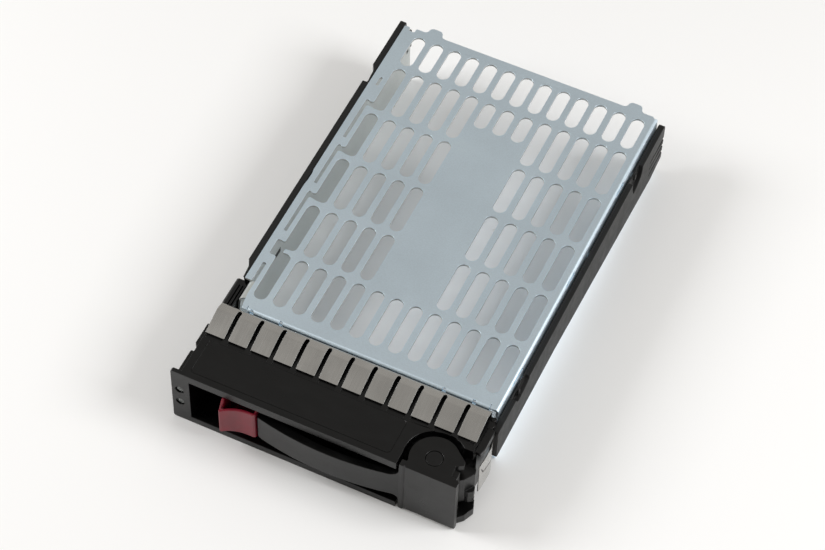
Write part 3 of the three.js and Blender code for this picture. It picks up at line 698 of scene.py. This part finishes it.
def left_rail():
    """A channel with two sunk, ribbed panels, two notches outside and hooks that grip the wall."""
    x, z, front = LEFT_RAIL["x"], LEFT_RAIL["z"], LEFT_RAIL["front"]
    side = rounded([(front, z[0], 0.6), (RAIL_REAR, z[0], 2), (RAIL_REAR, z[1], 1.2), (front, z[1], 0.6)])
    body = prism(side, x, 0)
    panels = [prism(rectangle(y, wider(z, -4), 2, 5), (x[0] - 1, x[0] + 1.1), 0) for y in LEFT_PANELS]
    notches = [rail_notch(*place) for place in LEFT_NOTCHES]
    channel = box((x[1] - 0.6, x[1] + 1), (front - 1, RAIL_REAR - 3), (16.4, 30.4))
    clip_room = box((x[1] - 1, x[1] + 1), wider(PIPE_CLIP["y"]), wider(PIPE_CLIP["z"], 0.4))
    made = cut(body, *panels, *notches, channel, clip_room)
    hooks = [box((x[1] - 0.8, LEFT_WALL[1] - 0.1), h[:2], h[2:]) for h in LEFT_HOOKS + REAR_HOOKS]
    ribs = [box((x[0] + 0.2, x[0] + 1.3), (y - 0.5, y + 0.5), wider(z, -3)) for y in LEFT_RIBS]
    made = joined(made, *hooks, *ribs)
    finished(made, "guide_rail_left", "root", ["left_rail"], "black_plastic", RAIL_BLACK, bevel=0.22)


def leaf(low, high, depth):
    """A clip's opening in the right rail's top edge: steep in front, deepest near there, rising behind."""
    top = RIGHT_RAIL["top"]
    tip = (low + 2.4, top - depth)
    points = [(low, top + 1), (low, top)]
    points += quad((low, top), (low + 0.6, top - depth * 0.7), tip)
    points += quad(tip, (high - 1.2, top - depth * 0.9), (high, top - depth * 0.3))
    points += [(high, top + 1)]
    points = [Vector(p) for p in points]
    return [p for i, p in enumerate(points) if (p - points[i - 1]).length > 0.02]


def right_rail():
    """A rail that deepens to the rear, with ribs at its end, two clips and hooks through the wall."""
    x, top, front = RIGHT_RAIL["x"], RIGHT_RAIL["top"], RIGHT_RAIL["front"]
    body = prism(rounded(RAIL_FOOT + [(RAIL_REAR, top, 2.0), (front, top, 0.8)]), x, 0)
    grooves = []
    for i in range(GROOVES["count"]):
        high = GROOVES["first"] - GROOVES["pitch"] * i
        low, start, end = high - GROOVES["gap"], GROOVES["front"], RAIL_REAR + 2
        line = [(start, low + 0.3), (end, low - 0.2), (end, high + 0.2), (start, high - 0.3)]
        grooves.append(prism(line, (x[0] + 0.9, x[1] + 1), 0))
    openings = [prism(leaf(*place), (x[0] + 0.7, x[1] + 1), 0) for place in LEAVES]
    made = cut(body, *grooves, *openings)
    hooks = [box((PLATE_WIDTH + 0.1, x[0] + 0.5), h[:2], h[2:]) for h in RIGHT_HOOKS]
    tongues = []
    for y in (LEAVES[0][0] + 5, LEAVES[1][0] + 5):
        tongue = [(y - 0.9, top - 3), (y + 0.9, top - 3), (y + 0.6, top - 0.1), (y - 0.5, top - 0.1)]
        tongues.append(prism(tongue, (x[0], x[0] + 1.5), 0))
    made = joined(made, *hooks, *tongues)
    finished(made, "guide_rail_right", "root", ["right_rail"], "black_plastic", RAIL_BLACK, bevel=0.22)


# ---------- bezel ----------
FRONT = -33.2
BEZEL_SIDE, BEZEL_BACK, BEZEL_RIGHT, BEZEL_TOP = -7.4, -1.3, 98.9, 28.6
LIP_END = 76.9
PIVOT = (87.9, -25.6)
RECESS = {"x": -3.9, "z": (3.2, 24.7), "back": -17.5}
LIGHT_X, LIGHT_Z, LIGHT_R = -7.95, (17.9, 10.5), 1.7
FINGERS = {"count": 12, "pitch": 8.94, "gap": 1.65, "x": -7.35}
SIDE_ARM = {"x": (99.3, 102.1), "y": (-17.3, -6.3), "z": (25.7, 28.8)}
ARM_ROOT = {"x": (96, 100.4), "y": (-14.0, -1.6)}
CLAW_ROOM = 15.8  # radius that the claws sweep
HUB_ROOM = 11.2  # radius of the lever hub's room in the bezel
PIN_HOLE = 2.08
INSET = {"x": (-4.55, 73), "y": (-30.6, -15.8), "depth": 0.14}
POCKET_DEPTH = 0.55  # below each finger's tip
LUGS = {"y": ((-31.8, -20.8), (-18.8, -8.0)), "z": (2.5, 26.0), "x": -9.5}
POST_FRONT, LAST_POST_FRONT = -14.5, -8.5
RETAINER = {"x": (-4.4, 28.6), "z": (3.6, 25.0), "y": (-2.9, -1.3), "screws": [(-2.6, 20.0), (26.8, 20.0)]}
INSIDE = (2.6, 24.8)  # height of the bezel's hollows
BOSS_Z = (9.2, 25.0)
RIBS_X = (43.5, 62.5)


def finger_x(i):
    return FINGERS["x"] + FINGERS["pitch"] * i


def bezel_block():
    """The bezel's solid shape, with a wider front lip whose left corners are cut off."""
    left, side = BEZEL_LEFT, BEZEL_SIDE
    plan = [
        (left, FRONT), (LIP_END, FRONT), (LIP_END, PIVOT[1]), (BEZEL_RIGHT, PIVOT[1]),
        (BEZEL_RIGHT, BEZEL_BACK), (side, BEZEL_BACK), (side, FRONT + 1.6), (left, FRONT + 1.6),
    ]
    block = prism(plan, (0, BEZEL_TOP))
    corners = []
    for z, rise in ((-0.55, 2.2), (BEZEL_TOP + 0.55, -2.2)):
        corner = [(left - 1, z), (left + 1.1, z), (left - 1, z + rise)]
        corners.append(prism(corner, (FRONT - 1, FRONT + 3), 1))
    return cut(block, *corners)


def lugs():
    """The two raised pads on the bezel's left side."""
    root, face = BEZEL_SIDE + 0.1, LUGS["x"]
    made = []
    for low, high in LUGS["y"]:
        plan = [(root, low - 0.4), (-8.4, low), (face, low + 1.5)]
        plan += [(face, high - 0.3), (face + 0.3, high), (root, high)]
        made.append(prism(plan, LUGS["z"]))
    return made


def bezel_hollows():
    """Room for the button, the lever and its claws, the latch plate, the fingers' tips and the posts."""
    everything = (-1, BEZEL_TOP + 1)
    claw_room = prism(arc(PIVOT, CLAW_ROOM, -90, 90), (-1, 23.2))
    retainer = box(wider(RETAINER["x"]), (RETAINER["y"][0] - 0.3, 0), wider(RETAINER["z"]))
    (left, right), (front, back) = INSET["x"], INSET["y"]
    field = rounded([(left, front, 1.5), (right, front, 1.5), (right, back, 1.5), (left, back, 0.8)])
    inset = prism(field, (BEZEL_TOP - INSET["depth"], BEZEL_TOP + 1))
    pockets = []
    for i in range(FINGERS["count"]):
        left = BEZEL_SIDE + 0.8 if i == 0 else finger_x(i) + 0.4
        right = finger_x(i) + FINGERS["pitch"] - FINGERS["gap"] - 0.4
        pockets.append(box((left, right), (-15.2, BEZEL_BACK + 1), (BEZEL_TOP - POCKET_DEPTH, BEZEL_TOP + 1)))
    return [
        box((RECESS["x"], PIVOT[0]), (FRONT - 1, RECESS["back"]), RECESS["z"]),
        disc(PIVOT, HUB_ROOM, everything, sides=72),
        claw_room,
        box((PIVOT[0], BEZEL_RIGHT + 1), (FRONT, SIDE_ARM["y"][0]), everything),
        box(wider(RETAINER["x"], -4.2), (RECESS["back"] - 1, RETAINER["y"][0]), (5.6, 22.6)),
        retainer,
        inset,
        box((30.5, 76), (POST_FRONT, 0), INSIDE),
        box((84, 96), (LAST_POST_FRONT, 0), INSIDE),
        *pockets,
    ]


def bezel_holes():
    """Holes for the pin and the screws, and the light guides' windows and passages."""
    holes = [disc(PIVOT, PIN_HOLE, (0, BEZEL_TOP))]
    holes += [disc(at, 1.3, (-10, 0), 1, 24) for at in BEZEL_SCREWS]
    holes += [disc(at, 1.0, (-8, 0), 1, 24) for at in RETAINER["screws"]]
    for z in LIGHT_Z:
        holes.append(disc((LIGHT_X, z), LIGHT_R, (FRONT - 1, FRONT + 2), 1, 32))
        holes.append(box((BEZEL_SIDE - 1, BEZEL_SIDE + 2.4), (FRONT + 1.4, 0), (z - 1.5, z + 1.5)))
    return holes


def side_arm():
    """The arm beside the last finger: chamfered in front, with two round lugs behind."""
    x, y, z = SIDE_ARM["x"], SIDE_ARM["y"], SIDE_ARM["z"]
    plan = rounded([
        (x[0], y[0] + 0.3, 0.5), (x[1] - 0.6, y[0], 0.5), (x[1], y[0] + 2.2, 0.8), (x[1], y[1], 0.6),
        (x[0], y[1], 0),
    ])
    under = [(y[0] - 1, z[0] - 1), (y[0] - 1, z[0] + 1.8), (y[0] + 4.5, z[0]), (y[0] + 4.5, z[0] - 1)]
    arm = cut(prism(plan, z), prism(under, wider(x, 1), 0))
    inner = box(ARM_ROOT["x"], ARM_ROOT["y"], (z[0], BEZEL_TOP))
    front_lug = disc((99.6, -4.4), 1.6, (z[0], z[1] - 0.2), sides=32)
    rear_lug = disc((99.8, -2.2), 1.0, z, sides=24)
    return [arm, inner, front_lug, rear_lug]


def bezel():
    """The bezel with its lugs, hollows, pivot boss, side arm, screw posts and ribs."""
    posts = []
    for x, z in BEZEL_SCREWS:
        front = POST_FRONT if x < PIVOT[0] else LAST_POST_FRONT
        posts.append(box((x - 3, x + 3), (front - 0.5, BEZEL_BACK), (11, 20)))
    ribs = [box((x - 0.5, x + 0.5), (POST_FRONT - 0.5, -7.5), wider(INSIDE, 0.2)) for x in RIBS_X]
    boss = [
        disc(PIVOT, 4.5, BOSS_Z),
        box((80.6, PIVOT[0]), (PIVOT[1], -15.6), BOSS_Z),
        box((76.6, 83.6), (-17.6, -9.0), BOSS_Z),
    ]
    made = joined(bezel_block(), *lugs())
    made = cut(made, *bezel_hollows())
    made = joined(made, *boss, *side_arm(), *posts, *ribs)
    made = cut(made, *bezel_holes())
    finished(made, "bezel", "root", ["bezel_frame"], "black_plastic", BLACK, bevel=0.2)


# ---------- shielding ----------
SPRING_SHEET = 0.35
STRIP_LEG = {"y": -0.575, "z": (24.5, 27, 28.8)}
FINGER_BOW = [
    (-0.62, -1.3), (-0.95, -0.68), (-1.6, -0.42), (-2.6, -0.12), (-3.5, 0.15), (-4.5, 0.26), (-6.0, -0.1),
    (-8.5, -0.82), (-11, -1.65), (-13.5, -2.56),
]


def finger_strip():
    """A leg between bezel and pan, and twelve fingers that bow up and forward from it."""
    leg = [(STRIP_LEG["y"], z) for z in STRIP_LEG["z"]]
    bow = [(y, PLATE_TOP + rise) for y, rise in FINGER_BOW]
    path, length = smooth_path(leg + bow, 0.3)
    root = PLATE_TOP - 0.68 - leg[0][1] + 0.75
    right = finger_x(FINGERS["count"]) - FINGERS["gap"]
    tip = 0.25  # radius of a finger's corners
    corners = [(0.5, 0, 0.4), (right, 0, 0.6), (right, length, tip)]
    for i in range(FINGERS["count"] - 1, 0, -1):
        x = finger_x(i)
        left = x - FINGERS["gap"]
        corners += [(x, length, tip), (x, root + 1.0, 0.5), (x - 0.5, root, 0.3)]
        corners += [(left, root + 0.3, 0.4), (left, length, tip)]
    corners += [(FINGERS["x"], length, tip), (FINGERS["x"], 3.0, 0.6), (0.5, 2.5, 0.4)]
    bm = flat_sheet(rounded(corners, 3), [], SPRING_SHEET, 0.05)
    bend_along(bm, 1, 2, path, length)
    made = to_object(bm)
    finished(made, "shield_fingers", "root", ["emi_top_strip"], "spring_steel", SPRING, bevel=0)
    dull_and_shade_edges(made.data, lambda at, normal: abs(normal.x) > 0.3)


SIDE_SPRING = {
    "z": (7.6, 23.8),
    "line": [
        (1.2, 100.77), (-2.0, 100.77), (-5.0, 100.77), (-6.3, 100.85), (-7.3, 101.7), (-8.6, 102.4),
        (-10.5, 102.74), (-14, 102.72), (-17, 102.55), (-19.4, 102.35),
    ],
}


def side_spring():
    """A sheet held between wall and rail that bows out beside the bezel, with a slit in it."""
    low, high = SIDE_SPRING["z"]
    path, length = smooth_path([(y, x - SPRING_SHEET / 2) for y, x in SIDE_SPRING["line"]], 0.5)
    outer = rounded([(0, high, 0.5), (length, high, 0.5), (length, low, 0.8), (0, low, 0.5)])
    end = length - 1.4
    slit = rounded([
        (9.3, 14.4, 0.1), (18.2, 16.6, 0.3), (end, 20.2, 0.3),
        (end, 21.2, 0.3), (17.9, 17.3, 0.3), (9.3, 14.9, 0.1),
    ])
    bm = flat_sheet(outer, [slit], SPRING_SHEET, 0.06)
    for v in bm.verts:
        v.co = Vector((v.co.z, v.co.x, v.co.y))
    bend_along(bm, 1, 0, path, length)
    made = to_object(bm)
    finished(made, "shield_side_spring", "root", ["emi_side_spring"], "spring_steel", SPRING, bevel=0)


# ---------- light guides' housing ----------
PIPE_HALF = 1.1
HOUSING = [(-8.0, -0.1), (-3.5, -0.1), (-3.5, 10.4), (-5.2, 12.0), (-8.0, 12.0)]


def guide_housing():
    """A box behind the bezel's front left corner, with two grooves in its top and the guides' passages."""
    body = prism(rounded([(x, y, 0.3) for x, y in HOUSING]), (8.0, 30.0))
    valleys = [
        prism([(x - 0.45, 30.5), (x, 28.9), (x + 0.45, 30.5)], (-1, 9.6), 1)
        for x in (-5.7, -4.4)
    ]
    slope = prism([(-8.5, 30.5), (-8.5, 29.0), (-7.0, 30.02), (-7.0, 30.5)], (-1, 13), 1)
    passages = [box((-7.6, -3.1), (-2, 13), (z - PIPE_HALF - 0.3, z + PIPE_HALF + 0.3)) for z in LIGHT_Z]
    made = cut(body, *valleys, slope, *passages)
    finished(made, "guide_housing", "root", ["light_pipe_housing"], "black_plastic", BLACK, bevel=0.15)


# ---------- lever ----------
LEVER = {"left": 23.1, "strip": 77.9, "root": 79.8, "right": 99.6, "z": (8.5, 21.0), "under": 0.4}
HUB_R = 9.0
HUB_PLATE = 2.8  # thickness of the lever's upper and lower plates
FACE = 2.4  # thickness of the pivot block's face
PIN_R, PIN_HEAD_R = 2.0, 3.0


def hub_plan():
    """The plan of the lever's two plates: round behind, with a bite and an ear at the right."""
    points = [Vector(p) for p in (
        (LEVER["root"] - 0.4, FRONT + 0.3), (LEVER["right"] - 0.3, FRONT + 0.3),
        (LEVER["right"] - 0.3, -30.4), (96.2, -29.4), (95.8, -25.4), (98.4, -23.8), (98.0, -22.2),
    )]
    return points + arc(PIVOT, HUB_R, 45, 207, 40)


UPPER_CLAW = [
    (94.6, -28.4, 0), (97.8, -28.4, 0.3), (98.2, -26.4, 0), (99.4, -25.5, 0.6), (101.9, -21.6, 0.7),
    (101.4, -19.8, 0.6), (98.4, -19.2, 0.5), (94.6, -20, 0.3),
]
CLAW_TOOTH = [(98, -25.4, 0), (101.0, -25.2, 0.4), (102.7, -24, 0.5), (102.2, -22, 0.4), (98, -21, 0)]
LOWER_CLAW = [
    (94.6, -31, 0), (98.6, -31, 0.5), (101.4, -28.2, 1.5), (103.1, -24.2, 0.8), (101.8, -20.8, 0.6),
    (98.4, -20.2, 0.4), (97.4, -23.6, 0.6), (94.6, -26, 0.3),
]
TOOTH_FRONT = [
    (97, 15.2), (97, 8), (104, 8), (104, 8.6), (101.6, 9.2), (103.4, 12.2), (103.4, 14.0), (102.2, 15.2),
]
UPPER_CLAW_Z, TOOTH_Z, LOWER_CLAW_Z = (8.6, 22.6), (8.6, 15), (0.6, 4.6)


def claws():
    """What draws the carrier into its bay: an upper claw with a tooth below its tip, and a lower one."""
    tooth = combined(prism(rounded(CLAW_TOOTH), TOOTH_Z), "INTERSECT", [prism(TOOTH_FRONT, (-27, -19), 1)])
    return [prism(rounded(UPPER_CLAW), UPPER_CLAW_Z), tooth, prism(rounded(LOWER_CLAW), LOWER_CLAW_Z)]


def handle():
    """The bowed handle and the strip at its root: what a plan and a front outline both hold."""
    left, strip, end = LEVER["left"], LEVER["strip"], LEVER["root"]
    low, high = LEVER["z"]
    crown = ((left + strip) / 2, FRONT - 6.2)
    thick = 2.6
    plan = quad((left, FRONT), crown, (strip, FRONT), 28)
    plan += [Vector(p) for p in ((end + 1, FRONT), (end + 1, FRONT + thick), (strip, FRONT + thick))]
    plan += quad((strip - 0.1, FRONT + thick), (crown[0], crown[1] + thick), (left + 2.2, FRONT + 3.4), 28)
    plan += [Vector((left, FRONT + 3.4))]
    top = BEZEL_TOP
    front = rounded([
        (left, low, 1.6), (strip, low, 2.9), (strip, LEVER["under"], 0.3), (end + 0.6, LEVER["under"], 0),
        (end + 0.6, top, 0), (strip, top, 0.5), (strip, high, 3.4), (left, high, 0.5),
    ], 8)
    return combined(prism(plan, (0, 30)), "INTERSECT", [prism(front, (FRONT - 8, FRONT + 6), 1)])


def ejector_lever():
    """The handle and the pivot block: a face, two hub plates, a wall between them and the claws."""
    end, right, under = LEVER["root"], LEVER["right"], LEVER["under"]
    face = box((end, right), (FRONT, FRONT + FACE), (under, BEZEL_TOP))
    vee = [(end - 0.8, FRONT - 0.4), (end + 0.8, FRONT - 0.4), (end, FRONT + 0.4)]
    groove = prism(vee, (under - 1, BEZEL_TOP + 1))
    chamfer = [(-1, -1), (1, -1), (1, 0), (0, 1), (-1, 1)]
    foot = prism([(FRONT + y, under + z) for y, z in chamfer], (end + 0.3, right + 1), 0)
    solids = [
        face,
        prism(hub_plan(), (BEZEL_TOP - HUB_PLATE, BEZEL_TOP)),
        prism(hub_plan(), (under, under + HUB_PLATE)),
        box((94.4, 98.0), (-31.4, -26.2), (under + 0.5, BEZEL_TOP - 1)),
        *claws(),
    ]
    made = joined(handle(), *solids)
    made = cut(
        made, groove, foot,
        disc(PIVOT, PIN_HOLE, (-1, BEZEL_TOP + 1), sides=40),
        disc(PIVOT, PIN_HEAD_R + 0.2, (BEZEL_TOP - 1.3, BEZEL_TOP + 1)),
        disc(PIVOT, 4.2, (-1, 1.8)),
    )
    finished(made, "eject_lever", "lever", ["ejector_lever"], "lever_plastic", LEVER_BLACK, bevel=0.18)


def lever_pin():
    """The pin, with its head in the upper plate and a groove for the clip at its lower end."""
    shaft = disc(PIVOT, PIN_R, (LEVER["under"] + 0.2, BEZEL_TOP - 0.3), sides=40)
    head = disc(PIVOT, PIN_HEAD_R, (BEZEL_TOP - 1.0, BEZEL_TOP - 0.1))
    groove = cut(disc(PIVOT, PIN_R + 1, (0.95, 1.45), sides=40), disc(PIVOT, 1.55, (0, 2), sides=40))
    made = cut(joined(shaft, head), groove)
    finished(made, "pivot_pin", "root", ["lever_pin"], "pin_plastic", PIN_BLACK, bevel=0.15)


# ---------- release button ----------
SPRING_AXIS = (-23, 18)  # y and z of the return spring, which pushes along X
BUTTON = {"x": (9.3, 22.5), "z": (8.0, 23.2), "back": -19.4, "wall": 1.0, "top": (20.8, 22.4), "floor": 2.2}


def latch_button():
    """A hollow button with a scooped front wall, and a left cheek that rises behind the upper lip."""
    left, right = BUTTON["x"]
    low, high = BUTTON["z"]
    wall = BUTTON["wall"]
    middle = (left + right) / 2 - 1
    scoop = quad((left + 0.9, BUTTON_FRONT + 0.2), (middle, FRONT - 0.2), (right - 1.1, FRONT - 0.7), 14)
    plan = [Vector((left, BUTTON_FRONT + 0.5)), Vector((left + 0.35, BUTTON_FRONT + 0.12))] + scoop
    rear = [(right - 0.3, FRONT - 0.45), (right, FRONT), (right, BUTTON["back"]), (left, BUTTON["back"])]
    plan += [Vector(p) for p in rear]
    start, end = (left + wall, BUTTON_FRONT + wall + 0.5), (right - wall, FRONT - 0.7 + wall)
    cavity = quad(start, (middle, FRONT + wall), end, 14)
    cavity += [Vector((right - wall, BUTTON["back"] - 2)), Vector((left + wall, BUTTON["back"] - 2))]
    above = [(left - 1, BUTTON["top"][0]), (right + 1, BUTTON["top"][1]), (right + 1, 26), (left - 1, 26)]
    body = cut(prism(plan, (low, high)), prism(above, (BUTTON_FRONT - 1, FRONT + 1.2), 1))
    top = RECESS["z"][1] - 0.5
    side = rounded([(-36.2, 20, 0), (-33.9, top, 1.2), (-22, top, 0.6), (-22, 20, 0)])
    cheek = prism(side, (left, left + 1.4), 0)
    seat = disc(SPRING_AXIS, 2.9, (left - 1, left + 1.2), 0, 32)
    made = cut(joined(body, cheek), prism(cavity, (low + BUTTON["floor"], 26)), seat)
    names = ("release_button", "latch", ["latch_button"], "burgundy_plastic")
    finished(made, *names, BURGUNDY, bevel=0.3, segments=3)


def wire(name, points, radius, nodes):
    """A round wire along a smooth line, with closed ends."""
    path, _ = smooth_path(points, 0.35)
    sides = 10
    bm = bmesh.new()
    rings = []
    side = None
    for i, at in enumerate(path):
        along = (path[min(i + 1, len(path) - 1)] - path[max(i - 1, 0)]).normalized()
        side = (side - along * side.dot(along)).normalized() if side else along.orthogonal().normalized()
        other = along.cross(side)
        turns = [2 * math.pi * k / sides for k in range(sides)]
        rings.append([bm.verts.new(at + (side * math.cos(t) + other * math.sin(t)) * radius) for t in turns])
    for a, b in zip(rings, rings[1:]):
        for k in range(sides):
            bm.faces.new((a[k], a[(k + 1) % sides], b[(k + 1) % sides], b[k]))
    bm.faces.new(rings[0])
    bm.faces.new(rings[-1])
    return finished(to_object(bm), name, "root", nodes, "steel_hardware", STEEL, bevel=0)


def helix(turns, radius, centre, start, end, per_turn=16):
    """Points (a, b, along) on a coil round a centre, rising from start to end."""
    count = round(turns * per_turn)
    points = []
    for i in range(count + 1):
        t = 2 * math.pi * turns * i / count
        along = start + (end - start) * i / count
        points.append((centre[0] + radius * math.cos(t), centre[1] + radius * math.sin(t), along))
    return points


def lever_spring():
    """The torsion spring round the pin. Its front leg is short, to clear the lever as it swings."""
    radius, low, high = 3.4, 4.1, 8.3
    front_leg = (PIVOT[0] + radius, PIVOT[1] - 3.0, low)
    rear_leg = (PIVOT[0] - 5.4, PIVOT[1] + 8.9, high)
    coil = helix(3.14, radius, PIVOT, low, high)
    wire("torsion_spring", [front_leg, *coil, rear_leg], 0.35, ["lever_spring"])


def latch_spring():
    """The return spring, coiled from the bezel's side to the button, on a mesh of its own."""
    start, end, thick = RECESS["x"] + 0.7, BUTTON["x"][0] + 0.45, 0.25
    coil = helix(6, 2.2, SPRING_AXIS, start, end)
    made = wire("return_spring", [(x, y, z) for y, z, x in coil], thick, ["latch_spring"])
    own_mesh(made)


def screw(name, node, at, seat, length, shank, head):
    """A pan-head screw along Y with a rounded head and a cross recess, its head at the rear."""
    x, z = at
    top = head * 0.55
    profile = [(0, -length), (shank * 0.55, -length), (shank, -length + 0.7), (shank, 0)]
    profile += [(head, 0), (head, top * 0.35), (head * 0.93, top * 0.7), (head * 0.72, top * 0.93), (0, top)]
    sides = 32
    bm = bmesh.new()
    rings = []
    for r, y in profile:
        turns = [2 * math.pi * k / sides for k in range(sides)] if r else [0]
        rings.append([bm.verts.new((x + r * math.cos(t), seat + y, z + r * math.sin(t))) for t in turns])
    for a, b in zip(rings, rings[1:]):
        for k in range(sides):
            j = (k + 1) % sides
            ends = [a[0]] if len(a) == 1 else [a[k], a[j]]
            bm.faces.new(ends + ([b[0]] if len(b) == 1 else [b[j], b[k]]))
    made = to_object(bm)
    arm, slot, depth = head * 0.55, 0.24, (seat + top - 0.6, seat + top + 1)
    cross = joined(
        box((x - arm, x + arm), depth, (z - slot, z + slot)),
        box((x - slot, x + slot), depth, (z - arm, z + arm)),
    )
    finished(cut(made, cross), name, "root", [node], "steel_hardware", STEEL, bevel=0.05, segments=1)


def screws():
    for i, at in enumerate(BEZEL_SCREWS):
        screw(f"frame_screw_{i + 1}", f"bezel_screw_{i + 1}", at, 1.3, 9, 1.2, 2.7)
    for i, at in enumerate(RETAINER["screws"]):
        screw(f"plate_screw_{i + 1}", f"retainer_screw_{i + 1}", at, RETAINER["y"][1] + 0.1, 5.5, 0.9, 1.9)


def latch_plate():
    """The plate behind the button and its spring, sunk and ribbed outside."""
    x, y, z = RETAINER["x"], RETAINER["y"], RETAINER["z"]
    body = prism(rectangle(x, z, 1, 5), y, 1)
    holes = [disc(at, 1.2, (-6, 2), 1, 24) for at in RETAINER["screws"]]
    field = prism(rectangle(wider(x, -4), wider(z, -2), 1, 5), (y[1] - 0.5, y[1] + 1), 1)
    ribs = [box((a - 0.4, a + 0.4), (y[1] - 0.6, y[1]), wider(z, -1.5)) for a in (5, 12, 19)]
    made = joined(cut(body, field, *holes), *ribs)
    finished(made, "latch_plate", "root", ["latch_retainer"], "black_plastic", BLACK, bevel=0.12)


def carried_over():
    """The small pieces that keep their CAD shape."""
    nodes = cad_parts
    for name, finish in (
        ("light_pipe_upper", CLEAR), ("light_pipe_lower", CLEAR),
        ("light_pipe_clip", BLACK), ("lever_pin_clip", STEEL),
    ):
        mesh = nodes[name].data
        mesh.materials.clear()
        mesh.materials.append(finish)


floor_pan()
left_wall()
left_rail()
right_rail()
bezel()
finger_strip()
side_spring()
guide_housing()
ejector_lever()
lever_pin()
latch_button()
lever_spring()
latch_spring()
screws()
latch_plate()
carried_over()


# ---------- camera, light and floor ----------
def camera():
    """The camera looks down at a point just ahead of the plate's middle, from the front right."""
    azimuth, elevation, roll = math.radians(23.551), math.radians(53.832), math.radians(2.144)
    distance = 0.96252
    target = TO_FRAME @ Vector((48.55, 39.80, PLATE_TOP))
    level = math.cos(elevation)
    back = Vector((math.sin(azimuth) * level, -math.cos(azimuth) * level, math.sin(elevation)))
    data = bpy.data.cameras.new("camera")
    data.sensor_width = 36
    data.lens = 116.765
    made = bpy.data.objects.new("camera", data)
    turn = back.to_track_quat("Z", "Y").to_matrix() @ Matrix.Rotation(roll, 3, "Z")
    made.matrix_world = Matrix.Translation(target + back * distance) @ turn.to_4x4()
    bpy.context.scene.collection.objects.link(made)
    bpy.context.scene.camera = made


def area_light(name, at, size, power):
    """A square light at this place that shines at the origin."""
    data = bpy.data.lights.new(name, "AREA")
    data.shape = "SQUARE"
    data.size = size
    data.energy = power
    made = bpy.data.objects.new(name, data)
    made.location = at
    made.rotation_euler = (-Vector(at)).to_track_quat("-Z", "Y").to_euler()
    bpy.context.scene.collection.objects.link(made)


def studio():
    """A pale surround, a little dimmer overhead, two soft lights and a white table."""
    world = bpy.data.worlds.new("studio")
    world.use_nodes = True
    tree = world.node_tree
    direction = tree.nodes.new("ShaderNodeTexCoord")
    parts = tree.nodes.new("ShaderNodeSeparateXYZ")
    tree.links.new(direction.outputs["Generated"], parts.inputs["Vector"])
    background = tree.nodes["Background"]
    background.inputs["Color"].default_value = (1, 0.97, 0.92, 1)
    height = spread(tree, parts.outputs["Z"], 0.46, 0.37, 0.78, 0.97)
    tree.links.new(height, background.inputs["Strength"])
    bpy.context.scene.world = world
    area_light("left", (-0.80, -0.25, 0.62), 0.42, 5.7)
    area_light("right", (0.76, 0.1, 0.66), 0.42, 5.7)
    bm = bmesh.new()
    bmesh.ops.create_grid(bm, x_segments=1, y_segments=1, size=6)
    mesh = bpy.data.meshes.new("table")
    bm.to_mesh(mesh)
    bm.free()
    table = bpy.data.objects.new("table", mesh)
    bpy.context.scene.collection.objects.link(table)
    made, _, shader = material("table", (0.9, 0.9, 0.9), 0, 0.6)
    mesh.materials.append(made)


camera()
studio()
bpy.context.scene.view_settings.view_transform = "Standard"
